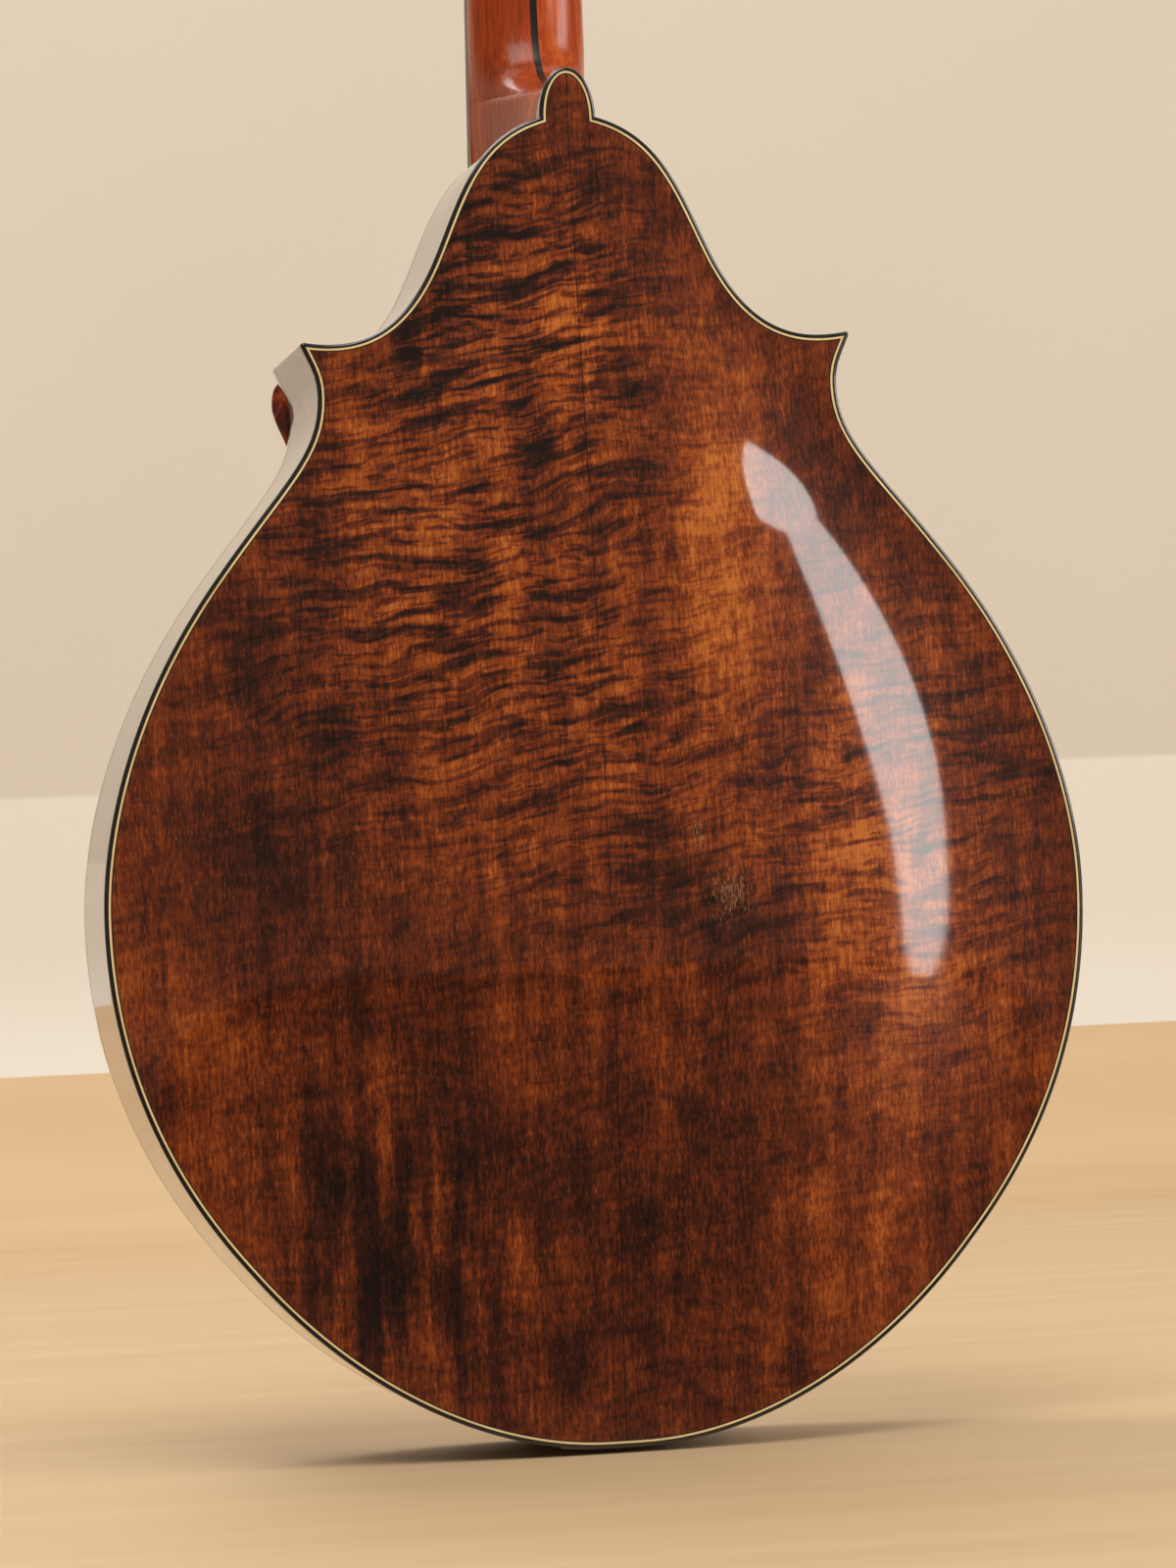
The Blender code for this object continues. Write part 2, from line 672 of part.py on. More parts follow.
def make_rebate_cutters(finish):
    """Bands a little larger than the linings, which cut their seats into the blocks."""
    outer = full_loop(raised(front_half(RIB_THICKNESS / 2)))
    inner = full_loop(raised(front_half(LINED_INSET)))
    result = []
    for name, side in (("top_rebate", -1), ("back_rebate", 1)):
        ring_strip(name, outer, inner, side * REBATE_START, side * RIB_DEPTH / 2, finish)
        result.append(as_cutter(bpy.data.objects[name]))
    return result


def rebated_block(name, outline, finish, rebates):
    """A block that fills the body's depth, with a rebate where each lining passes."""
    result = object_from_bmesh(name, prism(outline, -INNER_DEPTH, INNER_DEPTH), finish)
    for rebate in rebates:
        boolean(result, rebate, "DIFFERENCE", "MANIFOLD")
    return result


def make_end_blocks(finishes, rebates):
    steps = [k / 4 for k in range(-4, 5)]
    edge = [(k * NECK_BLOCK_HALF, shoulder_height(k * NECK_BLOCK_HALF, INNER_INSET)) for k in steps]
    bottom = NOTCH_HEIGHT - NECK_BLOCK_LENGTH
    corners = [(NECK_BLOCK_HALF, bottom), (-NECK_BLOCK_HALF, bottom)]
    neck_block = rebated_block("neck_block", raised(edge + corners), finishes["inner_wood"], rebates)
    top_of_slot = BODY_BOTTOM + JOINT_HEIGHT
    slot = block((-TENON_HALF - GAP, TENON_FRONT_Y - GAP, top_of_slot - TENON_DEPTH - GAP),
                 (TENON_HALF + GAP, TENON_BACK_Y + GAP, top_of_slot + TENON_DEPTH))
    slot = as_cutter(object_from_bmesh("tenon_slot", slot, finishes["inner_wood"]))
    boolean(neck_block, slot, "DIFFERENCE", "MANIFOLD")
    edge = [(k * TAIL_BLOCK_HALF, tail_height(k * TAIL_BLOCK_HALF, INNER_INSET)) for k in steps]
    corners = [(TAIL_BLOCK_HALF, TAIL_BLOCK_TOP), (-TAIL_BLOCK_HALF, TAIL_BLOCK_TOP)]
    rebated_block("tail_block", raised(edge + corners), finishes["inner_wood"], rebates)


def point_outline(inset):
    """The corner inside one point of the waist, at an inset from the outline."""
    upper = inset_run(run(UPPER_SEGMENTS, [FINE_STEPS] * 2), inset)
    lower = inset_run(run(LOWER_SEGMENTS, [FINE_STEPS] * 5), inset)
    i, j, tip = crossing(upper, lower)
    upper = upper[:i + 1]
    upper = np.vstack([upper[upper[:, 0] > POINT_BLOCK_BACK], tip])
    lower = lower[j + 1:]
    lower = np.vstack([tip, lower[lower[:, 1] > POINT_BLOCK_LOW]])
    shares = np.linspace(0, 1, 4)
    return raised(np.vstack([resampled(upper, shares), resampled(lower, shares)[1:]]))


def make_point_blocks(finishes, rebates):
    outline = point_outline(INNER_INSET)
    for name, side in (("point_block_treble", 1), ("point_block_bass", -1)):
        rebated_block(name, [(side * x, z) for x, z in outline], finishes["inner_wood"], rebates)


def make_linings(finishes):
    outer = full_loop(raised(front_half(INNER_INSET)))
    inner = full_loop(raised(front_half(INNER_INSET + LINING_WIDTH)))
    for name, side in (("top_lining", -1), ("back_lining", 1)):
        ring_strip(name, outer, inner, side * INNER_DEPTH, side * (INNER_DEPTH - LINING_HEIGHT),
                   finishes["inner_wood"], side * INNER_DEPTH, side * (INNER_DEPTH - LINING_TIP))


def make_brace(finishes):
    """The bar across the soundboard below the soundhole, fitted to the arch."""
    height = SOUNDHOLE_HEIGHT - BRACE_DROP
    half = float(np.interp(height, *WIDTH_TABLE)) - LINED_INSET - BRACE_END_CLEARANCE
    low = BODY_BOTTOM + height - BRACE_WIDTH / 2
    high = low + BRACE_WIDTH
    slim = BRACE_WIDTH / 4
    rings = []
    for share in np.linspace(-1, 1, 9):
        x = share * half
        near = max(top_face(x, low), top_face(x, high)) + PLATE_THICKNESS + 2 * GAP
        far = near + BRACE_DEPTH * (1 - BRACE_FALL * abs(share) ** 3)
        rings.append([(x, near, low), (x, far, low + slim), (x, far, high - slim), (x, near, high)])
    object_from_bmesh("top_brace", skin(rings), finishes["spruce"])


# Neck, in its own frame: z along the neck from the body joint, y towards the back from the fingerboard's
# underside

def board_half(along):
    return (JOINT_WIDTH + (NUT_WIDTH - JOINT_WIDTH) * along / NUT_ALONG) / 2


def shaft_depth(along):
    return NECK_DEPTH_BODY + (NECK_DEPTH_NUT - NECK_DEPTH_BODY) * min(1.0, max(0.0, along / NUT_ALONG))


def button_face(along):
    """y of the heel's end under the back's button, in the neck's frame."""
    seat = BACK_Y - BINDING_HEIGHT - GAP
    start = NECK_FRAME.inverted() @ Vector((0, seat, NECK_FRAME.translation.z))
    return start.y + along * math.tan(-NECK_ANGLE)


HEEL_TOP = NOTCH_HEIGHT + BUTTON_LENGTH - JOINT_HEIGHT
UNDER_BUTTON = (-0.0080, 0.0, 0.0060, 0.0110, 0.0150)
PAST_BUTTON = (-0.0003, 0.0012, 0.0046, 0.0091, 0.0151, 0.0231, 0.0351)
SHAFT_SHARES = (0.26, 0.57, 0.90)
NECK_STATIONS = (*UNDER_BUTTON, *(HEEL_TOP + step for step in PAST_BUTTON),
                 *(HEAD_ALONG * share for share in SHAFT_SHARES), HEAD_ALONG)
SECTION_SHARES = (0.0, 0.10, 0.24, 0.40, 0.56, 0.72, 0.86, 0.96, 1.0)
SHAFT_ROUNDNESS = 2.2
HEEL_HOLLOW = 1.7


def heel_share(along):
    """How much of the heel is left at a place along the neck: 1 under the button, falling to 0."""
    if along <= HEEL_TOP:
        return 1.0
    return math.exp(-((along - HEEL_TOP) / HEEL_FALL) ** HEEL_POWER)


def neck_section(along):
    heel = heel_share(along)
    depth = shaft_depth(along) + (button_face(along) - shaft_depth(along)) * heel
    tall = (along + JOINT_HEIGHT - NOTCH_HEIGHT) / BUTTON_LENGTH
    cap = BUTTON_HALF * math.sqrt(max(0.0, 1 - max(0.0, tall) ** 2))
    half = board_half(along)
    points = []
    for share in SECTION_SHARES:
        rounded = (1 - share ** SHAFT_ROUNDNESS) ** (1 / SHAFT_ROUNDNESS)
        hollow = (1 - share) ** HEEL_HOLLOW
        width = cap * heel + (half - cap * heel) * (heel * hollow + (1 - heel) * rounded)
        points.append((width, share * depth))
    low = max(points[-1][0], STRIP_WIDTH / 4)
    points[-1] = (low, points[-1][1])
    return [(x, y, along) for x, y in points] + [(-x, y, along) for x, y in points[::-1]]


def tongue_rings():
    """The neck's tongue between the fingerboard's end and the soundboard."""
    rings = []
    back = NECK_FRAME.inverted()
    for along in (last_fret() - BOARD_OVERRUN, -0.0700, -0.0500, -0.0300, -0.0120, 0.0040):
        half = board_half(along)
        ring = [(half, 0.0, along), (-half, 0.0, along)]
        under = []
        for share in (-1.0, -0.5, 0.0, 0.5, 1.0):
            place = NECK_FRAME @ Vector((share * half, 0.0, along))
            seat = top_face(place.x, place.z) - 2 * GAP
            under.append(back @ Vector((place.x, seat, place.z)))
        rings.append(ring + [(p.x, p.y, along) for p in under])
    return rings


def last_fret():
    return fret_place(FRET_COUNT)


def fret_place(number):
    return NUT_ALONG - STRING_LENGTH * (1 - 2 ** (-number / 12))


FLARE_SHARES = ((0.0, 0.0), (0.088, 0.30), (0.647, 0.625), (1.0, 1.0))
CREST_SHARES = ((1.0, 0.0), (0.882, 0.4375), (0.62, 0.625), (0.30, 0.906), (0.0, 1.0))


def head_outline():
    """The headstock's outline in its own frame, from the nut upwards: a plain tapered paddle."""
    flare = [(HEAD_NECK_HALF + (HEAD_LOW_HALF - HEAD_NECK_HALF) * wide, HEAD_FLARE * tall)
             for wide, tall in FLARE_SHARES]
    crest = [(HEAD_TOP_HALF * wide, HEAD_LENGTH - HEAD_CREST * (1 - tall)) for wide, tall in CREST_SHARES]
    right = flare + crest
    return right + [(-x, z) for x, z in right[-2::-1]]


def posts():
    """Each tuner's number, side and height above the nut, in the headstock's frame."""
    result = []
    for side in (1, -1):
        for k in range(TUNERS_PER_SIDE):
            number = k + 1 if side > 0 else k + 1 + TUNERS_PER_SIDE
            result.append((number, side, FIRST_POST + k * POST_SPACING))
    return result


def post_hole_cutter(name, near, far, finish):
    """One cutter with a bar for every post hole, in the headstock's frame."""
    bm = bmesh.new()
    for _, side, up in posts():
        bar = cylinder((POST_RADIUS + RUN_CLEARANCE) / math.cos(math.pi / POST_SIDES), near, far, POST_SIDES)
        bmesh.ops.translate(bar, verts=bar.verts[:], vec=(side * POST_OFFSET, 0, up))
        mesh = bpy.data.meshes.new(name)
        bar.to_mesh(mesh)
        bar.free()
        bm.from_mesh(mesh)
        bpy.data.meshes.remove(mesh)
    return as_cutter(object_from_bmesh(name, bm, finish, HEAD))


def split_neck(core, low_x, high_x, name, finish):
    """The slice of the neck between two planes across it."""
    half = object_from_mesh(name, core.copy(), finish, NECK, 35)
    slab = block((low_x, -RIB_DEPTH, -STRING_LENGTH), (high_x, 2 * RIB_DEPTH, STRING_LENGTH))
    boolean(half, as_cutter(object_from_bmesh(name + "_slab", slab, finish, NECK)), "INTERSECT", "MANIFOLD")
    merge_flat_faces(half)


def make_neck(finishes):
    wood = finishes["mahogany"]
    core = object_from_bmesh("neck_core", skin([neck_section(a) for a in NECK_STATIONS]), wood, NECK)
    tongue = as_cutter(object_from_bmesh("neck_tongue", skin(tongue_rings()), wood, NECK))
    head = prism(head_outline(), 0.0, HEAD_THICKNESS)
    head = as_cutter(object_from_bmesh("head_core", head, wood, HEAD))
    seat = full_loop(raised(front_half(0.0)))
    middle = (0.0, BODY_BOTTOM + BOUT_HEIGHT)
    grown = []
    for x, z in seat:
        reach = math.hypot(x - middle[0], z - middle[1])
        grown.append((x + (x - middle[0]) * GAP / reach, z + (z - middle[1]) * GAP / reach))
    body = as_cutter(object_from_bmesh("heel_seat", prism(grown, FRONT_Y - GAP, BACK_Y * 1.5), wood))
    top_of_tenon = BODY_BOTTOM + JOINT_HEIGHT
    tenon = block((-TENON_HALF, TENON_FRONT_Y, top_of_tenon - TENON_DEPTH),
                  (TENON_HALF, TENON_BACK_Y, top_of_tenon + TENON_DEPTH / 4))
    tenon = as_cutter(object_from_bmesh("neck_tenon", tenon, wood))
    boolean(core, head, "UNION", "MANIFOLD")
    boolean(core, body, "DIFFERENCE", "MANIFOLD")
    boolean(core, tongue, "UNION", "MANIFOLD")
    boolean(core, tenon, "UNION", "MANIFOLD")
    holes = post_hole_cutter("post_holes_wood", -HEAD_THICKNESS, 2 * HEAD_THICKNESS, wood)
    boolean(core, holes, "DIFFERENCE", "MANIFOLD")
    mesh = evaluated_mesh(core)
    bpy.data.objects.remove(core, do_unlink=True)
    seam = STRIP_WIDTH / 2 + GAP
    split_neck(mesh, seam, HEAD_TOP_HALF * 2, "neck_treble_half", wood)
    split_neck(mesh, -HEAD_TOP_HALF * 2, -seam, "neck_bass_half", wood)
    split_neck(mesh, -STRIP_WIDTH / 2, STRIP_WIDTH / 2, "neck_centre_strip", finishes["ebony"])


def make_fingerboard(finishes):
    """Board and frets in one piece: a side profile carried across the board's taper."""
    end = last_fret() - BOARD_OVERRUN
    top = -GAP - BOARD_THICKNESS
    profile = [(end, -GAP), (end, top)]
    for number in range(FRET_COUNT, 0, -1):
        place = fret_place(number)
        profile += [(place - FRET_FOOT / 2, top), (place - FRET_CROWN / 2, top - FRET_HEIGHT),
                    (place + FRET_CROWN / 2, top - FRET_HEIGHT), (place + FRET_FOOT / 2, top)]
    profile += [(NUT_ALONG - GAP, top), (NUT_ALONG - GAP, -GAP)]
    rings = [[(side * board_half(along), y, along) for along, y in profile] for side in (-1, 1)]
    object_from_bmesh("fingerboard", skin(rings), finishes["ebony"], NECK)


def make_nut(finishes):
    half = board_half(NUT_ALONG)
    low, high = NUT_ALONG, NUT_ALONG + NUT_LENGTH - GAP
    profile = [(low, -GAP), (low, -NUT_HEIGHT), (low + NUT_LENGTH * 0.4, -NUT_HEIGHT),
               (high, -NUT_HEIGHT * 0.72), (high, -GAP)]
    rings = [[(side * half, y, along) for along, y in profile] for side in (-1, 1)]
    object_from_bmesh("nut", skin(rings), finishes["bone"], NECK)


def make_veneer(finishes):
    outline = [(x, z + GAP if z == 0.0 else z) for x, z in head_outline()]
    veneer = object_from_bmesh("headstock_veneer", prism(outline, -GAP, -GAP - VENEER_THICKNESS),
                               finishes["ebony"], HEAD)
    boolean(veneer, post_hole_cutter("post_holes_veneer", -2 * VENEER_THICKNESS, VENEER_THICKNESS,
                                     finishes["ebony"]), "DIFFERENCE")
    merge_flat_faces(veneer)


# Tuners, in the headstock's frame

def gear_bmesh():
    """A worm wheel with skewed teeth, centred on its own axis along Y."""
    skew = WORM_PITCH / (2 * math.pi * WORM_RADIUS)
    pitch = 2 * math.pi / GEAR_TEETH
    tip, root = GEAR_RADIUS + TOOTH_ADDENDUM, GEAR_RADIUS - TOOTH_DEDENDUM
    half_pitch = (WORM_PITCH / 2 - TOOTH_BACKLASH) / 2 / GEAR_RADIUS
    slope = math.tan(PRESSURE_ANGLE)
    half_tip = half_pitch - slope * TOOTH_ADDENDUM / GEAR_RADIUS
    half_root = half_pitch + slope * TOOTH_DEDENDUM / GEAR_RADIUS
    rings = []
    for share in (-0.5, 0.5):
        y = share * GEAR_THICKNESS
        turn = y * skew / GEAR_RADIUS
        ring = []
        for k in range(GEAR_TEETH):
            for offset, radius in ((-half_root, root), (-half_tip, tip), (half_tip, tip), (half_root, root)):
                angle = k * pitch + offset + turn
                ring.append((radius * math.cos(angle), y, radius * math.sin(angle)))
        rings.append(ring)
    return skin(rings)


def make_posts(finishes):
    """String post and worm wheel in one piece, for each tuner."""
    front = -GAP - VENEER_THICKNESS
    groove = front - POST_GROOVE
    waist = POST_RADIUS - POST_GROOVE_DEPTH
    profile = [(POST_RADIUS, GEAR_MIDDLE), (POST_RADIUS, groove + 0.0026), (waist, groove + 0.0012),
               (waist, groove - 0.0012), (POST_RADIUS, groove - 0.0026), (POST_RADIUS, front - POST_HEIGHT)]
    for number, side, up in posts():
        rings = []
        for radius, y in profile:
            rings.append([(radius * math.cos(2 * math.pi * k / POST_SIDES), y,
                           radius * math.sin(2 * math.pi * k / POST_SIDES)) for k in range(POST_SIDES)])
        shaft = object_from_bmesh(f"string_post_{number}", skin(rings), finishes["brass"], HEAD, 35)
        shaft.location = (side * POST_OFFSET, 0, up)
        gear = object_from_bmesh(f"gear_{number}", gear_bmesh(), finishes["brass"], HEAD)
        gear.location = (side * POST_OFFSET, GEAR_MIDDLE, up)
        gear.rotation_euler = (0, tooth_turn(), 0)
        boolean(shaft, as_cutter(gear), "UNION")
        merge_flat_faces(shaft)


def tooth_turn():
    """Turn of the wheel about +Y that puts a tooth straight towards the worm below it."""
    return math.pi / 2 - 2 * math.pi / GEAR_TEETH * round(GEAR_TEETH / 4)


def worm_thread():
    """The raised thread of the worm, along X, with a thread space at the middle below the wheel's tooth."""
    half_pitch = (WORM_PITCH / 2 - TOOTH_BACKLASH) / 2
    slope = math.tan(PRESSURE_ANGLE)
    tip, root = WORM_RADIUS + TOOTH_ADDENDUM, SHAFT_RADIUS * WORM_ROOT
    half_tip = half_pitch - slope * TOOTH_ADDENDUM
    half_root = half_pitch + slope * (WORM_RADIUS - root)
    steps = WORM_TURNS * WORM_STEPS
    rings = []
    for k in range(steps + 1):
        angle = 2 * math.pi * (k / WORM_STEPS)
        middle = WORM_PITCH * (k / WORM_STEPS - WORM_TURNS / 2)
        shape = ((half_root, root), (half_tip, tip), (-half_tip, tip), (-half_root, root))
        across, up = math.sin(angle), math.cos(angle)
        rings.append([(middle + x, radius * across, radius * up) for x, radius in shape])
    return skin(rings)


def make_worms(finishes):
    """Worm and its shaft for each tuner, reaching out to the button."""
    for number, side, up in posts():
        outer = head_edge(up) + BUTTON_GAP + BUTTON_BORE - POST_OFFSET
        inner = worm_half_length() + LUG_THICKNESS + SHAFT_TAIL
        start, end = (-inner, outer) if side > 0 else (-outer, inner)
        bar = cylinder(SHAFT_RADIUS, start, end, SHAFT_SIDES, "X")
        shaft = object_from_bmesh(f"worm_shaft_{number}", bar, finishes["nickel"], HEAD, 35)
        place = (side * POST_OFFSET, GEAR_MIDDLE, up - WORM_DISTANCE)
        shaft.location = place
        thread = object_from_bmesh(f"worm_thread_{number}", worm_thread(), finishes["nickel"], HEAD)
        thread.location = place
        boolean(shaft, as_cutter(thread), "UNION", "MANIFOLD")


def worm_half_length():
    return WORM_PITCH * (WORM_TURNS + 1) / 2 + RUN_CLEARANCE


def head_edge(up):
    """Half width of the headstock at a height above the nut."""
    top = HEAD_LENGTH - HEAD_CREST
    return HEAD_LOW_HALF + (HEAD_TOP_HALF - HEAD_LOW_HALF) * (up - HEAD_FLARE) / (top - HEAD_FLARE)


def make_turn_buttons(finishes):
    """Oval turn buttons on the worm shafts, with a blind hole for the shaft."""
    for number, side, up in posts():
        bm = bmesh.new()
        bmesh.ops.create_uvsphere(bm, u_segments=10, v_segments=6, radius=0.5)
        size = Matrix.Diagonal((TURN_BUTTON_LENGTH, TURN_BUTTON_THICKNESS, TURN_BUTTON_WIDTH, 1.0))
        bmesh.ops.transform(bm, matrix=size @ Matrix.Rotation(math.pi / 2, 4, "Y"), verts=bm.verts[:])
        button = object_from_bmesh(f"turn_button_{number}", bm, finishes["bone"], HEAD, 50)
        reach = TURN_BUTTON_LENGTH / 2
        place = (side * (head_edge(up) + BUTTON_GAP + reach), GEAR_MIDDLE, up - WORM_DISTANCE)
        button.location = place
        bore = cylinder(SHAFT_RADIUS + GAP, -reach - GAP, BUTTON_BORE + GAP - reach, SHAFT_SIDES, "X")
        if side < 0:
            bmesh.ops.transform(bore, matrix=Matrix.Rotation(math.pi, 4, "Y"), verts=bore.verts[:])
        bore = object_from_bmesh(f"button_bore_{number}", bore, finishes["bone"], HEAD)
        bore.location = place
        boolean(button, as_cutter(bore), "DIFFERENCE")


def make_tuner_plates(finishes):
    """One plate for each side, with two lugs for every worm shaft."""
    low = FIRST_POST - PLATE_END
    high = FIRST_POST + (TUNERS_PER_SIDE - 1) * POST_SPACING + PLATE_END - WORM_DISTANCE / 2
    for name, side in (("tuner_plate_treble", 1), ("tuner_plate_bass", -1)):
        middle = side * POST_OFFSET
        sheet = block((middle - PLATE_HALF_WIDTH, HEAD_THICKNESS + GAP, low),
                      (middle + PLATE_HALF_WIDTH, PLATE_FACE, high))
        result = object_from_bmesh(name, sheet, finishes["nickel"], HEAD)
        lugs = bmesh.new()
        holes = bmesh.new()
        for _, post_side, up in posts():
            if post_side != side:
                continue
            z = up - WORM_DISTANCE
            root, tip = PLATE_FACE - PLATE_SHEET / 2, GEAR_MIDDLE + SHAFT_RADIUS + LUG_BACK
            for way in (-1, 1):
                near = middle + way * worm_half_length()
                far = near + way * LUG_THICKNESS
                add_bmesh(lugs, block((min(near, far), root, z - LUG_WIDTH / 2),
                                      (max(near, far), tip, z + LUG_WIDTH / 2)))
            bar = cylinder(SHAFT_RADIUS + RUN_CLEARANCE, -2 * worm_half_length(), 2 * worm_half_length(),
                           SHAFT_SIDES, "X")
            bmesh.ops.translate(bar, verts=bar.verts[:], vec=(middle, GEAR_MIDDLE, z))
            add_bmesh(holes, bar)
        lugs = as_cutter(object_from_bmesh(name + "_lugs", lugs, finishes["nickel"], HEAD))
        holes = as_cutter(object_from_bmesh(name + "_shaft_holes", holes, finishes["nickel"], HEAD))
        boolean(result, lugs, "UNION")
        boolean(result, holes, "DIFFERENCE")
        boolean(result, post_hole_cutter(name + "_post_holes", HEAD_THICKNESS, 2 * HEAD_THICKNESS,
                                         finishes["nickel"]), "DIFFERENCE")
        merge_flat_faces(result)


def add_bmesh(target, source):
    mesh = bpy.data.meshes.new("joined")
    source.to_mesh(mesh)
    source.free()
    target.from_mesh(mesh)
    bpy.data.meshes.remove(mesh)


# Strings, bridge and tailpiece

def spread(course_spacing, pair_spacing):
    """x of the eight strings, treble to bass."""
    result = []
    for course in range(COURSES):
        centre = ((COURSES - 1) / 2 - course) * course_spacing
        result += [centre + pair_spacing / 2, centre - pair_spacing / 2]
    return result


def string_at(along, x, radius=0.0):
    """World point on the string plane's top side of the frets, at a place along the neck."""
    at_joint = BOARD_THICKNESS + GAP + ACTION_AT_JOINT
    at_nut = NUT_HEIGHT + GAP
    height = at_joint + (at_nut - at_joint) * along / NUT_ALONG
    return NECK_FRAME @ Vector((x, -height - radius, along))


def saddle_top(x=0.0):
    return string_at(BRIDGE_ALONG, x)


def hanger_end():
    """Front face of the tailpiece's sheet at its upper end."""
    start_y = FRONT_Y - TAIL_BEND_RISE - TAIL_SHEET
    return Vector((0, start_y - TAIL_LENGTH * math.tan(TAIL_SLOPE), BODY_BOTTOM + TAIL_LENGTH))


def peg_seat():
    """Front face of the hanger where the pegs stand."""
    end = hanger_end()
    return Vector((0, end.y + PEG_INSET * math.tan(TAIL_SLOPE), end.z - PEG_INSET))


def string_ends():
    """For each string: its radius, anchor at the tailpiece, saddle, nut and post points."""
    nut_x = spread(NUT_COURSE_SPACING, NUT_PAIR_SPACING)
    bridge_x = spread(BRIDGE_COURSE_SPACING, BRIDGE_PAIR_SPACING)
    tail_x = spread(BRIDGE_COURSE_SPACING * TAIL_SPREAD, BRIDGE_PAIR_SPACING)
    treble = [entry for entry in posts() if entry[1] > 0]
    bass = [entry for entry in posts() if entry[1] < 0][::-1]
    result = []
    for index, (number, side, up) in enumerate(treble + bass):
        radius = COURSE_RADII[index // 2]
        seat = peg_seat()
        anchor = Vector((tail_x[index], seat.y - radius - 2 * GAP, seat.z + PEG_RADIUS + GAP))
        saddle = string_at(BRIDGE_ALONG, bridge_x[index], radius)
        over = string_at(NUT_ALONG + NUT_LENGTH * 0.2, nut_x[index], radius)
        inner = POST_OFFSET - POST_RADIUS - radius - GAP
        finish = HEAD_FRAME @ Vector((side * inner, -GAP - VENEER_THICKNESS - POST_GROOVE, up))
        result.append((number, radius, (anchor, saddle, over, finish)))
    return result


def make_strings(finishes):
    for index, (_, radius, points) in enumerate(string_ends()):
        name = f"string_{index + 1}"
        wire = bpy.data.curves.new(name, "CURVE")
        wire.dimensions = "3D"
        spline = wire.splines.new("POLY")
        spline.points.add(len(points) - 1)
        for target, point in zip(spline.points, points):
            target.co = (*point, 1.0)
        wire.bevel_depth = radius
        wire.bevel_resolution = STRING_SIDES_RESOLUTION
        wire.use_fill_caps = True
        wire.materials.append(finishes["bronze_wire"])
        PARTS.objects.link(bpy.data.objects.new(name, wire))


def make_bridge(finishes):
    """A floating bridge whose foot follows the arch, with an opening between its feet on either side."""
    z = saddle_top().z
    crest = saddle_top().y + GAP + SADDLE_HEIGHT
    flat_share = SADDLE_HALF / BRIDGE_HALF
    foot_half = BRIDGE_FOOT_DEPTH / 2
    rings = []
    for share in np.linspace(-1, 1, 13):
        x = share * BRIDGE_HALF
        foot = min(top_face(x, z + way * foot_half) for way in (-1, 0, 1)) - GAP - SEAT_MARGIN
        fall = max(0.0, abs(share) - flat_share) / (1 - flat_share)
        top = foot - (foot - crest) * (1 - BRIDGE_END_FALL * fall ** 0.8)
        waist, waist_half = foot + (top - foot) * 0.3, foot_half * 0.92
        top_half = BRIDGE_TOP_DEPTH / 2 * (1 - 0.3 * fall)
        rings.append([(x, foot, z - foot_half), (x, waist, z - waist_half), (x, top, z - top_half),
                      (x, top, z + top_half), (x, waist, z + waist_half), (x, foot, z + foot_half)])
    bridge = object_from_bmesh("bridge", skin(rings), finishes["ebony"])
    upright = Matrix.Rotation(math.pi / 2, 4, "X")
    for name, side in (("bridge_arch_treble", 1), ("bridge_arch_bass", -1)):
        x = side * BRIDGE_ARCH_PLACE
        bar = ellipse_bar(BRIDGE_ARCH_HALF, BRIDGE_ARCH_REACH, 16, -BRIDGE_FOOT_DEPTH, BRIDGE_FOOT_DEPTH)
        place = Matrix.Translation((x, top_face(x, z), z))
        bmesh.ops.transform(bar, matrix=place @ upright, verts=bar.verts[:])
        boolean(bridge, as_cutter(object_from_bmesh(name, bar, finishes["ebony"])), "DIFFERENCE")
    make_saddle(finishes, bridge, z, crest)


def make_saddle(finishes, bridge, z, crest):
    """The saddle, let into the bridge's top to half its own height."""
    floor_y, crown_y = crest + SADDLE_HEIGHT / 2, crest - SADDLE_HEIGHT
    depth_half = SADDLE_DEPTH / 2
    slot = block((-SADDLE_HALF, crown_y - SADDLE_HEIGHT, z - depth_half - GAP),
                 (SADDLE_HALF, floor_y + GAP, z + depth_half + GAP))
    boolean(bridge, as_cutter(object_from_bmesh("saddle_slot", slot, finishes["ebony"])), "DIFFERENCE")
    profile = [(-depth_half, floor_y), (-depth_half, crown_y + SADDLE_CROWN), (0.0, crown_y),
               (depth_half, crown_y + SADDLE_CROWN), (depth_half, floor_y)]
    half = SADDLE_HALF - GAP
    rings = [[(side * half, y, z + across) for across, y in profile] for side in (-1, 1)]
    object_from_bmesh("bridge_saddle", skin(rings), finishes["bone"])


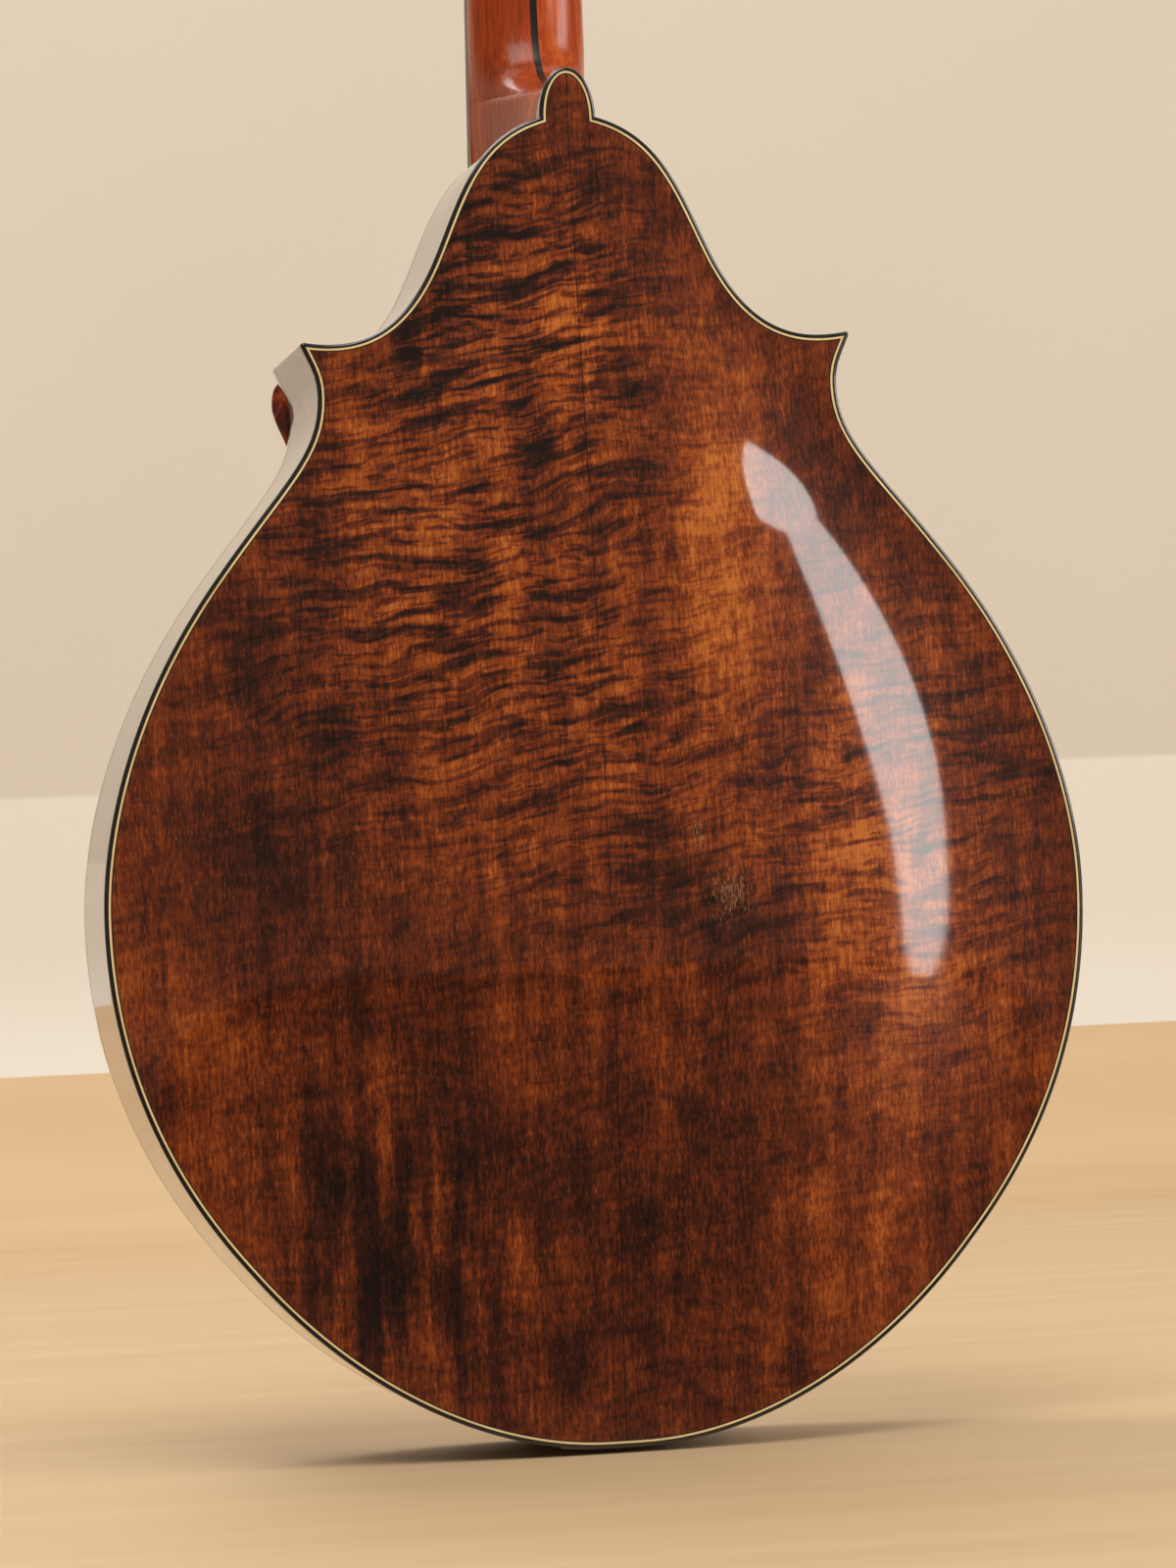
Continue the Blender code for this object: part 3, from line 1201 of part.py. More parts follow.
def make_tailpiece(finishes):
    """End flange, bend over the edge and string hanger in one bent sheet, with eight pegs."""
    end = hanger_end()
    rise = TAIL_BEND_RISE
    corner_y = FRONT_Y - rise
    inner = [(BACK_Y - FLANGE_END, -GAP), (corner_y + TAIL_BEND, -GAP), (corner_y, TAIL_BEND - GAP),
             (end.y + TAIL_SHEET, end.z - BODY_BOTTOM)]
    outer = [(BACK_Y - FLANGE_END, -GAP - TAIL_SHEET), (corner_y + TAIL_BEND / 2, -GAP - TAIL_SHEET),
             (corner_y - TAIL_SHEET, TAIL_BEND / 2 - GAP), (end.y, end.z - BODY_BOTTOM)]
    profile = inner + outer[::-1]
    rings = []
    for k in range(9):
        x = (-1 + k / 4) * TAIL_HALF
        rings.append([(x, y, z + tail_height(x, 0.0) + BODY_BOTTOM) for y, z in profile])
    base = object_from_bmesh("tailpiece_base", skin(rings), finishes["nickel"])
    pegs = bmesh.new()
    for _, _, points in string_ends():
        peg = cylinder(PEG_RADIUS, -PEG_HEIGHT, TAIL_SHEET * 0.6, 6)
        bmesh.ops.translate(peg, verts=peg.verts[:], vec=(points[0].x, peg_seat().y, peg_seat().z))
        add_bmesh(pegs, peg)
    boolean(base, as_cutter(object_from_bmesh("tailpiece_pegs", pegs, finishes["nickel"])), "UNION")
    make_cover(finishes)


def cover_direction():
    """Unit vector along the strings between the tailpiece and the saddle."""
    return (saddle_top() - peg_seat()).normalized()


def make_cover(finishes):
    """The domed cover over the string anchors: an open-ended shell with side skirts."""
    along = cover_direction()
    out = Vector((0, -along.z, along.y))
    back_off = (TAIL_LENGTH - COVER_START) * math.tan(TAIL_SLOPE)
    base = hanger_end() + Vector((0, back_off - GAP, COVER_START - TAIL_LENGTH))
    half = TAIL_HALF + COVER_ROOM + COVER_SHEET
    rings = []
    for share, height in COVER_SHARES:
        centre = base + along * (share * COVER_LENGTH)
        ring = []
        for k in range(11):
            angle = math.pi * (1 - k / 10)
            x = half * math.copysign(abs(math.cos(angle)) ** 0.45, math.cos(angle)) if k != 5 else 0.0
            lift = COVER_SKIRT * -1 + (COVER_HEIGHT * height + COVER_SKIRT) * abs(math.sin(angle)) ** 0.7
            ring.append(tuple(centre + Vector((x, 0, 0)) + out * lift))
        rings.append(ring)
    cover = object_from_bmesh("tailpiece_cover", skin(rings, closed=False), finishes["nickel"], None, 40)
    outward = sum(((face.center - base).dot(out) * face.normal.dot(out)) for face in cover.data.polygons)
    wall = cover.modifiers.new("wall", "SOLIDIFY")
    wall.thickness = COVER_SHEET
    wall.offset = -1.0 if outward > 0 else 1.0


# Finger rest

def rest_outline():
    """From the end of the fingerboard down the strings' side, round the tip and back up to the board."""
    board_end = JOINT_HEIGHT + last_fret() - BOARD_OVERRUN
    string_side = [(board_half(board_end - JOINT_HEIGHT) + 2 * GAP, board_end),
                   (REST_STRING_SIDE, board_end - REST_NECK_LENGTH),
                   (REST_STRING_SIDE, REST_BOTTOM + REST_CORNER)]
    lower = [(x, REST_BOTTOM + up) for x, up in REST_LOWER_EDGE]
    tip = [(REST_OUTER + x, REST_OUTER_HEIGHT + up) for x, up in REST_TIP]
    shoulder_x, shoulder_up = REST_SHOULDER
    board_side = [(shoulder_x, REST_TOP + shoulder_up),
                  (board_half(REST_TOP - JOINT_HEIGHT) + 2 * GAP, REST_TOP)]
    return string_side + lower + tip + board_side


def make_finger_rest(finishes):
    near = FRONT_Y - REST_HEIGHT - REST_THICKNESS
    far = FRONT_Y - REST_HEIGHT
    object_from_bmesh("finger_rest", prism(raised(rest_outline()), near, far), finishes["tortoiseshell"])
    x, z = REST_POST_X, BODY_BOTTOM + REST_POST_Z
    corners = [(sx, sz) for sx in (-1, 1) for sz in (-1, 1)]
    seat = min(top_face(x + sx * REST_POST_FOOT, z + sz * REST_POST_FOOT) for sx, sz in corners)
    seat -= GAP + SEAT_MARGIN
    foot = block((x - REST_POST_FOOT, seat - REST_FOOT_THICKNESS, z - REST_POST_FOOT),
                 (x + REST_POST_FOOT, seat, z + REST_POST_FOOT))
    bracket = object_from_bmesh("finger_rest_bracket", foot, finishes["nickel"])
    post = block((x - REST_POST_HALF, far + GAP, z - REST_POST_HALF),
                 (x + REST_POST_HALF, seat - REST_FOOT_THICKNESS / 2, z + REST_POST_HALF))
    boolean(bracket, as_cutter(object_from_bmesh("bracket_post", post, finishes["nickel"])), "UNION")


def empty(name, matrix):
    result = bpy.data.objects.new(name, None)
    PARTS.objects.link(result)
    result.matrix_world = matrix
    return result


clear_scene()
PARTS = new_collection("mandocello")
CUTTERS = new_collection("cutters")
NECK = empty("neck_frame", NECK_FRAME)
HEAD = empty("head_frame", HEAD_FRAME)
FINISHES = make_materials()
make_plates(FINISHES)
make_bindings(FINISHES)
make_ribs(FINISHES)
REBATES = make_rebate_cutters(FINISHES["inner_wood"])
make_end_blocks(FINISHES, REBATES)
make_point_blocks(FINISHES, REBATES)
make_linings(FINISHES)
make_brace(FINISHES)
make_neck(FINISHES)
make_fingerboard(FINISHES)
make_nut(FINISHES)
make_veneer(FINISHES)
make_posts(FINISHES)
make_worms(FINISHES)
make_turn_buttons(FINISHES)
make_tuner_plates(FINISHES)
make_strings(FINISHES)
make_bridge(FINISHES)
make_tailpiece(FINISHES)
make_finger_rest(FINISHES)
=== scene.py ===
"""The looks of a mandocello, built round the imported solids: carved and bound curly maple back, bent ribs, a
laminated mahogany neck, worm-geared tuners, strings, bridge and tailpiece. Metres, +Z up along the neck,
soundboard towards -Y, back towards +Y, treble side towards +X."""
import math

import bpy
import numpy as np
from mathutils import Matrix, Vector


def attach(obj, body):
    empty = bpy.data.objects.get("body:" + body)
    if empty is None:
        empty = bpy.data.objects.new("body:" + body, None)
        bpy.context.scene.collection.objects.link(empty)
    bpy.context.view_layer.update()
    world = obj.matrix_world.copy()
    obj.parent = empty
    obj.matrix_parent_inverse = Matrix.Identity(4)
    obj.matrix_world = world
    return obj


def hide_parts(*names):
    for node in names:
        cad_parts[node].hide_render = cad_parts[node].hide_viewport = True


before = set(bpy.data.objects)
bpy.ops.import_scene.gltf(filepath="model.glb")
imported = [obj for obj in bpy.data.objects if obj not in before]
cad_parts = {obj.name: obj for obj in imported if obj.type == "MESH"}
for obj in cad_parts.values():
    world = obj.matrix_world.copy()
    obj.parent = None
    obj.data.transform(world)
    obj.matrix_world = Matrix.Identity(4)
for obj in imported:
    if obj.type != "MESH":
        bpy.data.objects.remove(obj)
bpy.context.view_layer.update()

# Body outline: half widths and heights above the lowest point of the body, as the solids have them
BUTTON_HALF = 0.0104
BUTTON_LENGTH = 0.0184
NOTCH_HEIGHT = 0.4827
SHOULDER_CROWN = 0.286
TAIL_FLAT_HALF = 0.0055
NOTCH = (BUTTON_HALF, NOTCH_HEIGHT)
SHOULDER = (0.0515, 0.8937 * NOTCH_HEIGHT)
POINT = (0.1022, 0.8343 * NOTCH_HEIGHT)
WAIST = (0.0960, 0.7939 * NOTCH_HEIGHT)
FLANK = (0.1366, 0.6563 * NOTCH_HEIGHT)
BOUT = (0.1806, 0.4067 * NOTCH_HEIGHT)
HIP = (0.1322, 0.1405 * NOTCH_HEIGHT)
TAIL = (TAIL_FLAT_HALF, 0.0)
UPPER_SEGMENTS = (
    (NOTCH, SHOULDER, (0.613, 0.140), (0.757, 0.583)),
    (SHOULDER, POINT, (0.252, 0.948), (0.582, 1.150)),
)
LOWER_SEGMENTS = (
    (POINT, WAIST, (0.484, 0.415), (1.0, 0.574)),
    (WAIST, FLANK, (0.0, 0.322), (0.333, 0.453)),
    (FLANK, BOUT, (0.745, 0.364), (1.0, 0.739)),
    (BOUT, HIP, (0.0, 0.518), (0.638, 0.840)),
    (HIP, TAIL, (0.247, 0.563), (0.616, 1.0)),
)
CURVE_STEPS = 60
POINT_ROUND = 0.0011
DOME_COLUMNS = 16
CROWN_COLUMNS = 6
UPPER_COLUMNS = 72
TIP_COLUMNS = 7
LOWER_COLUMNS = 136

# Depth, plates and trim
GAP = 0.0003
BODY_BOTTOM = 0.0016
RIB_DEPTH = 0.0774
RIB_THICKNESS = 0.0022
BACK_Y = RIB_DEPTH / 2
FRONT_Y = -RIB_DEPTH / 2
BINDING_HEIGHT = 0.0057
BINDING_ROUND = 0.0009
BLACK_WIDTH = 0.00155
IVORY_WIDTH = 0.00075
INNER_LINE_WIDTH = 0.00045
PLATE_THICKNESS = 0.0046
TOP_ARCH = 0.0140
BACK_ARCH = 0.0145
ARCH_CENTRE = 0.4247 * NOTCH_HEIGHT
ARCH_EDGE = 0.0040
ARCH_FULLNESS = 1.35
SOUNDHOLE_HALF_WIDTH = 0.0320
SOUNDHOLE_HALF_HEIGHT = 0.0240
SOUNDHOLE_HEIGHT = 0.7230 * NOTCH_HEIGHT

# Neck and headstock
NECK_ANGLE = math.radians(4.8)
HEAD_ANGLE = math.radians(14.0)
STRING_LENGTH = 0.6280
JOINT_FRET = 14
FRET_COUNT = 20
NUT_WIDTH = 0.0392
JOINT_WIDTH = 0.0447
NECK_RISE = 0.0012
NECK_DEPTH_NUT = 0.0160
NECK_DEPTH_BODY = 0.0180
HEEL_FALL = 0.0046
HEEL_POWER = 0.72
STRIP_WIDTH = 0.0027
BOARD_THICKNESS = 0.0065
BOARD_OVERRUN = 0.0030
NUT_LENGTH = 0.0050
NUT_HEIGHT = 0.0083
HEAD_LENGTH = 0.1560
HEAD_THICKNESS = 0.0140
HEAD_NECK_HALF = 0.0215
HEAD_LOW_HALF = 0.0385
HEAD_TOP_HALF = 0.0425
HEAD_FLARE = 0.0200
HEAD_CREST = 0.0160
FLARE_SHARES = ((0.0, 0.0), (0.088, 0.30), (0.647, 0.625), (1.0, 1.0))
CREST_SHARES = ((1.0, 0.0), (0.882, 0.4375), (0.62, 0.625), (0.30, 0.906), (0.0, 1.0))
VENEER_THICKNESS = 0.0020
FRET_HEIGHT = 0.0010
FRET_FOOT = 0.0022
DOTTED_FRETS = ((5, 0.0), (7, 0.0), (10, 0.0), (12, -0.0115), (12, 0.0115), (15, 0.0))

# Tuners
TUNERS_PER_SIDE = 4
FIRST_POST = 0.0330
POST_SPACING = 0.0280
POST_OFFSET = HEAD_TOP_HALF - 0.0140
POST_RADIUS = 0.0031
POST_HEIGHT = 0.0150
POST_GROOVE = 0.0065
POST_GROOVE_DEPTH = 0.0006
RUN_CLEARANCE = 0.0003
GEAR_TEETH = 14
WORM_PITCH = 0.0020
GEAR_RADIUS = GEAR_TEETH * WORM_PITCH / (2 * math.pi)
TOOTH_ADDENDUM = 0.0006
TOOTH_DEDENDUM = 0.0009
TOOTH_BACKLASH = 0.00045
PRESSURE_ANGLE = math.radians(20.0)
GEAR_THICKNESS = 0.0024
WORM_RADIUS = 0.0019
WORM_TURNS = 3
WORM_ROOT = 0.85
SHAFT_RADIUS = 0.0012
SHAFT_TAIL = 0.0010
PLATE_SHEET = 0.0012
PLATE_HALF_WIDTH = 0.0085
PLATE_END = 0.0130
LUG_THICKNESS = 0.0018
LUG_WIDTH = 0.0052
LUG_BACK = 0.0020
BUTTON_GAP = 0.0060
BUTTON_BORE = 0.0050
TURN_BUTTON_LENGTH = 0.0130
TURN_BUTTON_WIDTH = 0.0180
TURN_BUTTON_THICKNESS = 0.0088

# Strings, bridge, tailpiece and finger rest
COURSES = 4
COURSE_RADII = (0.00028, 0.00043, 0.00061, 0.00094)
PLAIN_STRINGS = 2
NUT_COURSE_SPACING = 0.0092
NUT_PAIR_SPACING = 0.0024
BRIDGE_COURSE_SPACING = 0.0136
BRIDGE_PAIR_SPACING = 0.0036
TAIL_SPREAD = 0.72
ACTION_AT_JOINT = 0.0036
BRIDGE_HALF = 0.0560
BRIDGE_FOOT_DEPTH = 0.0115
BRIDGE_TOP_DEPTH = 0.0080
BRIDGE_END_FALL = 0.74
BRIDGE_ARCH_PLACE = 0.0200
BRIDGE_ARCH_HALF = 0.0110
BRIDGE_ARCH_REACH = 0.0075
SADDLE_HEIGHT = 0.0045
SADDLE_DEPTH = 0.0034
SADDLE_HALF = 0.0275
SEAT_MARGIN = 0.0001
TAIL_SHEET = 0.0013
TAIL_HALF = 0.0220
FLANGE_END = 0.0120
TAIL_BEND_RISE = 0.0009
TAIL_BEND = 0.0012
TAIL_LENGTH = 0.0760
TAIL_SLOPE = math.radians(8.5)
PEG_RADIUS = 0.0011
PEG_HEIGHT = 0.0034
PEG_INSET = 0.0045
COVER_SHEET = 0.0009
COVER_LENGTH = 0.0700
COVER_START = 0.0060
COVER_HEIGHT = 0.0085
COVER_SKIRT = 0.0016
COVER_ROOM = 0.0008
COVER_SHARES = ((0.0, 0.42), (0.05, 0.68), (0.12, 0.86), (0.25, 0.97), (0.5, 1.0), (1.0, 1.0))
REST_HEIGHT = 0.0125
REST_THICKNESS = 0.0025
REST_OUTER = 0.1004
REST_OUTER_HEIGHT = POINT[1] - 0.0112
REST_TOP = NOTCH_HEIGHT - 0.0497
REST_BOTTOM = NOTCH_HEIGHT - 0.1807
REST_STRING_SIDE = 0.0300
REST_NECK_LENGTH = 0.0200
REST_CORNER = 0.0120
REST_LOWER_EDGE = ((0.0390, 0.0), (0.0600, 0.0060), (0.0800, 0.0350))
REST_TIP = ((-0.0054, -0.0180), (-0.0010, -0.0070), (0.0, 0.0), (-0.0030, 0.0070), (-0.0144, 0.0120),
            (-0.0444, 0.0160))
REST_SHOULDER = (0.0380, -0.0080)
REST_POST_X = 0.0800
REST_POST_Z = REST_OUTER_HEIGHT - 0.0155
REST_POST_HALF = 0.0040
REST_POST_FOOT = 0.0080
REST_FOOT_THICKNESS = 0.0018

JOINT_HEIGHT = NOTCH_HEIGHT + SHOULDER_CROWN * BUTTON_HALF / 2
NUT_ALONG = STRING_LENGTH * (1 - 2 ** (-JOINT_FRET / 12))
BRIDGE_ALONG = NUT_ALONG - STRING_LENGTH
HEAD_ALONG = NUT_ALONG + NUT_LENGTH + GAP
NECK_FRAME = (Matrix.Translation((0, FRONT_Y - NECK_RISE, BODY_BOTTOM + JOINT_HEIGHT))
              @ Matrix.Rotation(-NECK_ANGLE, 4, "X"))
HEAD_FRAME = (NECK_FRAME @ Matrix.Translation((0, 0, HEAD_ALONG))
              @ Matrix.Rotation(-HEAD_ANGLE, 4, "X"))
VENEER_FACE = -GAP - VENEER_THICKNESS
PLATE_FACE = HEAD_THICKNESS + GAP + PLATE_SHEET
GEAR_MIDDLE = PLATE_FACE + WORM_RADIUS + TOOTH_ADDENDUM + RUN_CLEARANCE
WORM_DISTANCE = GEAR_RADIUS + WORM_RADIUS
WORM_HALF_LENGTH = WORM_PITCH * (WORM_TURNS + 1) / 2 + RUN_CLEARANCE


# Shader maths

class Value:
    """A number from a node's socket. Sums and products of values add Math nodes."""

    def __init__(self, finish, socket):
        self.finish = finish
        self.socket = socket

    def _with(self, operation, *others):
        return self.finish.node("ShaderNodeMath", {"operation": operation}, dict(enumerate((self, *others))))

    def __add__(self, other):
        return self._with("ADD", other)

    __radd__ = __add__

    def __sub__(self, other):
        return self._with("SUBTRACT", other)

    def __rsub__(self, other):
        return self.finish.node("ShaderNodeMath", {"operation": "SUBTRACT"}, {0: other, 1: self})

    def __mul__(self, other):
        return self._with("MULTIPLY", other)

    __rmul__ = __mul__

    def __truediv__(self, other):
        return self._with("DIVIDE", other)

    def __pow__(self, other):
        return self._with("POWER", other)

    def __abs__(self):
        return self._with("ABSOLUTE")

    def sine(self):
        return self._with("SINE")

    def at_least(self, other):
        return self._with("MAXIMUM", other)

    def step(self, low, high):
        """0 below low, 1 above high, with a soft rise between them."""
        return self.finish.node("ShaderNodeMapRange", {"interpolation_type": "SMOOTHSTEP", "clamp": True},
                                {0: self, 1: low, 2: high, 3: 0.0, 4: 1.0})


class Finish:
    """A material whose nodes are made by calls."""

    def __init__(self, name, roughness=0.3, metallic=0.0, coat=0.0, coat_roughness=0.05, specular=0.5):
        self.material = bpy.data.materials.new(name)
        self.material.use_nodes = True
        self.nodes = self.material.node_tree.nodes
        self.links = self.material.node_tree.links
        self.shader = self.nodes["Principled BSDF"]
        self.shader.inputs["Roughness"].default_value = roughness
        self.shader.inputs["Metallic"].default_value = metallic
        self.shader.inputs["Coat Weight"].default_value = coat
        self.shader.inputs["Coat Roughness"].default_value = coat_roughness
        self.shader.inputs["Specular IOR Level"].default_value = specular

    def feed(self, socket, value):
        if isinstance(value, Value):
            self.links.new(value.socket, socket)
        elif isinstance(value, (int, float)) or not hasattr(socket.default_value, "__len__"):
            socket.default_value = value
        else:
            wanted = len(socket.default_value)
            socket.default_value = (*value, 1.0) if wanted == len(value) + 1 else value

    def node(self, kind, settings, inputs, output=0):
        made = self.nodes.new(kind)
        for name, value in settings.items():
            if name == "stops":
                self.set_stops(made.color_ramp, value)
            else:
                setattr(made, name, value)
        for name, value in inputs.items():
            self.feed(made.inputs[name], value)
        return Value(self, made.outputs[output])

    @staticmethod
    def set_stops(ramp, stops):
        while len(ramp.elements) < len(stops):
            ramp.elements.new(0.5)
        for element, (place, colour) in zip(ramp.elements, stops):
            element.position = place
            element.color = (*colour, 1.0)

    def place(self, stretch=(1.0, 1.0, 1.0)):
        """The object's own coordinates in metres, times stretch."""
        where = self.node("ShaderNodeTexCoord", {}, {}, "Object")
        return self.node("ShaderNodeVectorMath", {"operation": "MULTIPLY"}, {0: where, 1: stretch})

    def axis(self, name, vector):
        return self.node("ShaderNodeSeparateXYZ", {}, {0: vector}, "XYZ".index(name))

    def vector(self, x, y, z):
        return self.node("ShaderNodeCombineXYZ", {}, {0: x, 1: y, 2: z})

    def noise(self, vector, scale=1.0, detail=4.0, rough=0.55, twist=0.0):
        return self.node("ShaderNodeTexNoise", {}, {"Vector": vector, "Scale": scale, "Detail": detail,
                                                    "Roughness": rough, "Distortion": twist})

    def mottle(self, scales, detail=4.0, rough=0.6, twist=0.0):
        """Noise over the object's own coordinates, times a scale for each axis."""
        return self.noise(self.place(scales), 1.0, detail, rough, twist)

    def grain(self, wide, long):
        """Noise drawn out along the grain; wide and long are sizes in metres."""
        return self.mottle((1 / wide, 1 / wide, 1 / long))

    def ramp(self, value, *stops):
        return self.node("ShaderNodeValToRGB", {"stops": stops}, {0: value})

    def patch(self, vector, centre, reach):
        """A soft patch on the face: 1 round its (x, z) centre, 0 beyond its reach."""
        stretch = (1 / reach[0], 0.0, 1 / reach[1])
        shift = (-centre[0] / reach[0], 0.0, -centre[1] / reach[1])
        away = self.node("ShaderNodeVectorMath", {"operation": "MULTIPLY_ADD"},
                         {0: vector, 1: stretch, 2: shift})
        far = self.node("ShaderNodeVectorMath", {"operation": "LENGTH"}, {0: away}, 1)
        return far.step(1.0, 0.05)

    def warped(self, vector, scale, amount):
        """A vector pushed about by noise."""
        push = self.node("ShaderNodeTexNoise", {}, {"Vector": vector, "Scale": scale, "Detail": 3.0}, 1)
        level = self.node("ShaderNodeVectorMath", {"operation": "SUBTRACT"}, {0: push, 1: (0.5, 0.5, 0.5)})
        return self.node("ShaderNodeVectorMath", {"operation": "MULTIPLY_ADD"},
                         {0: level, 1: (amount, amount, amount), 2: vector})

    def mix(self, share, first, second):
        """A colour between two colours."""
        return self.node("ShaderNodeMix", {"data_type": "RGBA"}, {0: share, 6: first, 7: second}, 2)

    def colour(self, value):
        self.feed(self.shader.inputs["Base Color"], value)

    def rough(self, value):
        self.feed(self.shader.inputs["Roughness"], value)

    def bump(self, height, distance, strength):
        normal = self.node("ShaderNodeBump", {},
                           {"Height": height, "Distance": distance, "Strength": strength})
        self.feed(self.shader.inputs["Normal"], normal)


def srgb(red, green, blue):
    """A colour given as screen values from 0 to 255."""
    result = []
    for part in (red, green, blue):
        part /= 255
        result.append(part / 12.92 if part <= 0.04045 else ((part + 0.055) / 1.055) ** 2.4)
    return tuple(result)


# Finishes

# Stops of the stained maple's colour, from dark bands to light figure
CURLY_TONES = ((0.10, srgb(26, 12, 8)), (0.32, srgb(60, 25, 13)), (0.50, srgb(100, 42, 17)),
               (0.68, srgb(142, 67, 23)), (0.90, srgb(190, 108, 44)))

# Tone of the back by place: (x, z) centre, reach across and along, and how much lighter or darker it is. The
# first patch, the strongest, is partly the wood's own lighter tone and partly a painted glow of reflected
# window light on the bass side of the centre join.
BACK_TONE_AND_GLOW_PATCHES = (
    ((-0.052, 0.330), (0.034, 0.120), 0.27),
    ((-0.110, 0.180), (0.060, 0.120), 0.22),
    ((-0.080, 0.062), (0.050, 0.055), 0.16),
    ((0.052, 0.335), (0.060, 0.090), 0.03),
    ((0.000, 0.060), (0.130, 0.090), -0.08),
    ((-0.112, 0.285), (0.040, 0.070), 0.12),
    ((0.044, 0.425), (0.034, 0.060), -0.20),
    ((0.125, 0.300), (0.040, 0.060), -0.12),
    ((0.082, 0.064), (0.012, 0.044), -0.16),
    ((0.056, 0.048), (0.010, 0.034), -0.16),
    ((0.106, 0.096), (0.014, 0.054), -0.10),
    ((0.080, 0.110), (0.060, 0.090), -0.08),
    ((0.018, 0.330), (0.012, 0.120), -0.14),
    ((-0.040, 0.140), (0.016, 0.055), -0.16),
    ((-0.036, 0.192), (0.022, 0.030), -0.20),
    ((-0.168, 0.225), (0.022, 0.060), 0.06),
    ((0.024, 0.038), (0.022, 0.030), -0.20),
    ((0.120, 0.210), (0.050, 0.070), -0.12),
    ((0.000, 0.455), (0.050, 0.060), -0.10),
)
# Where the bands across the grain are strong: centre, reach and weight
BAND_PATCHES = (
    ((0.045, 0.330), (0.130, 0.170), 0.75),
    ((-0.110, 0.220), (0.080, 0.130), 0.55),
    ((-0.010, 0.230), (0.090, 0.090), 0.30),
    ((0.020, 0.425), (0.070, 0.080), 0.70),
)
BAND_STRENGTH = 0.16
BAND_SLANT = 0.14
STREAKED_PATCH = ((0.076, 0.080), (0.080, 0.090))
WORN_PATCHES = (((-0.0436, 0.198), (0.014, 0.020)), ((-0.031, 0.222), (0.006, 0.012)))
SEAM_HALF = 0.0004
WINDING_PITCH = 0.0004


def curly_back(name):
    """Stained curly maple, dark at the edges: broken bands across the grain, streaks and flecks along it, and
    a painted glow of reflected window light beside the centre join.
    """
    finish = Finish(name, 0.38, coat=0.9, coat_roughness=0.03, specular=0.10)
    place = finish.place()
    bent = finish.warped(place, 16.0, 0.022)
    x = finish.axis("X", bent)
    rising = finish.axis("Z", bent) + x * BAND_SLANT
    broad = finish.noise(finish.vector(x * 28.0, 0.0, rising * 190.0), 1.0, 2.0)
    close = finish.noise(finish.vector(x * 75.0, 5.0, rising * 390.0), 1.0, 2.0)
    strength = BAND_STRENGTH
    for centre, reach, weight in BAND_PATCHES:
        strength = finish.patch(bent, centre, reach) * weight + strength
    dark = broad.step(0.50, 0.60) * 0.24 + close.step(0.50, 0.60) * 0.20
    bands = ((0.5 - broad) * 0.5 + (0.5 - close) * 0.4 - dark + 0.14) * strength
    streaks = finish.grain(0.0012, 0.024) - 0.5
    stains = finish.grain(0.0090, 0.110) - 0.5
    flecks = finish.grain(0.0009, 0.0036) - 0.5
    clouds = finish.noise(place, 14.0, 5.0, 0.65) - 0.5
    blotches = finish.noise(bent, 60.0, 5.0, 0.72, 0.4) - 0.5
    tone = bands + streaks * 0.40 + stains * 0.50 + flecks * 0.75 + clouds * 0.50 + blotches * 0.60 + 0.47
    tone = tone + finish.patch(bent, *STREAKED_PATCH) * stains * 1.1
    # Tone patches by place; the first of them also paints in a glow of reflected window light.
    for centre, reach, weight in BACK_TONE_AND_GLOW_PATCHES:
        tone = finish.patch(bent, centre, reach) * weight + tone
    seam = (1.0 - abs(finish.axis("X", place)) / SEAM_HALF).at_least(0.0)
    wood = finish.ramp(tone - seam * 0.26, *CURLY_TONES)
    wear = finish.patch(bent, *WORN_PATCHES[0]) + finish.patch(bent, *WORN_PATCHES[1])
    worn = (wear * 0.16 + finish.grain(0.0004, 0.0026)).step(0.66, 0.74) * 0.75
    finish.colour(finish.mix(worn, wood, srgb(150, 118, 84)))
    finish.rough(0.36 - flecks * 0.15)
    finish.bump(streaks * 0.5 + flecks * 0.5, 0.00004, 0.2)
    return finish.material


def curly_ribs(name):
    """The same maple bent to the ribs: bands across the grain run up and down the depth."""
    finish = Finish(name, 0.30, coat=1.0, coat_roughness=0.02, specular=0.35)
    place = finish.place()
    bent = finish.warped(place, 12.0, 0.020)
    across = finish.vector(finish.axis("Z", bent) * 150.0, finish.axis("Y", bent) * 26.0, 0.0)
    bands = finish.noise(across, 1.0, 2.0)
    clouds = finish.noise(place, 13.0, 4.0, 0.6)
    flecks = finish.noise(place, 700.0, 3.0, 0.6)
    tone = bands * 0.7 + clouds * 0.35 + flecks * 0.30 - 0.22
    finish.colour(finish.ramp(tone, *CURLY_TONES))
    return finish.material


def spruce(name):
    """Stained spruce: fine dark growth lines along the grain."""
    finish = Finish(name, 0.34, coat=0.85, coat_roughness=0.06, specular=0.35)
    place = finish.place()
    x = finish.axis("X", place)
    wander = finish.mottle((30.0, 1.0, 2.0), 2.0, 0.55) - 0.5
    lines = ((x + wander * 0.004) * 3600.0).sine() * 0.5 + 0.5
    silk = finish.mottle((700.0, 700.0, 40.0))
    clouds = finish.noise(place, 8.0, 3.0)
    tone = lines ** 3.0 * -0.30 + silk * 0.35 + clouds * 0.5 + 0.12
    finish.colour(finish.ramp(tone, (0.15, srgb(64, 30, 18)), (0.45, srgb(122, 60, 30)),
                              (0.75, srgb(176, 98, 48))))
    finish.bump(lines * 0.5 + silk * 0.5, 0.00008, 0.3)
    return finish.material


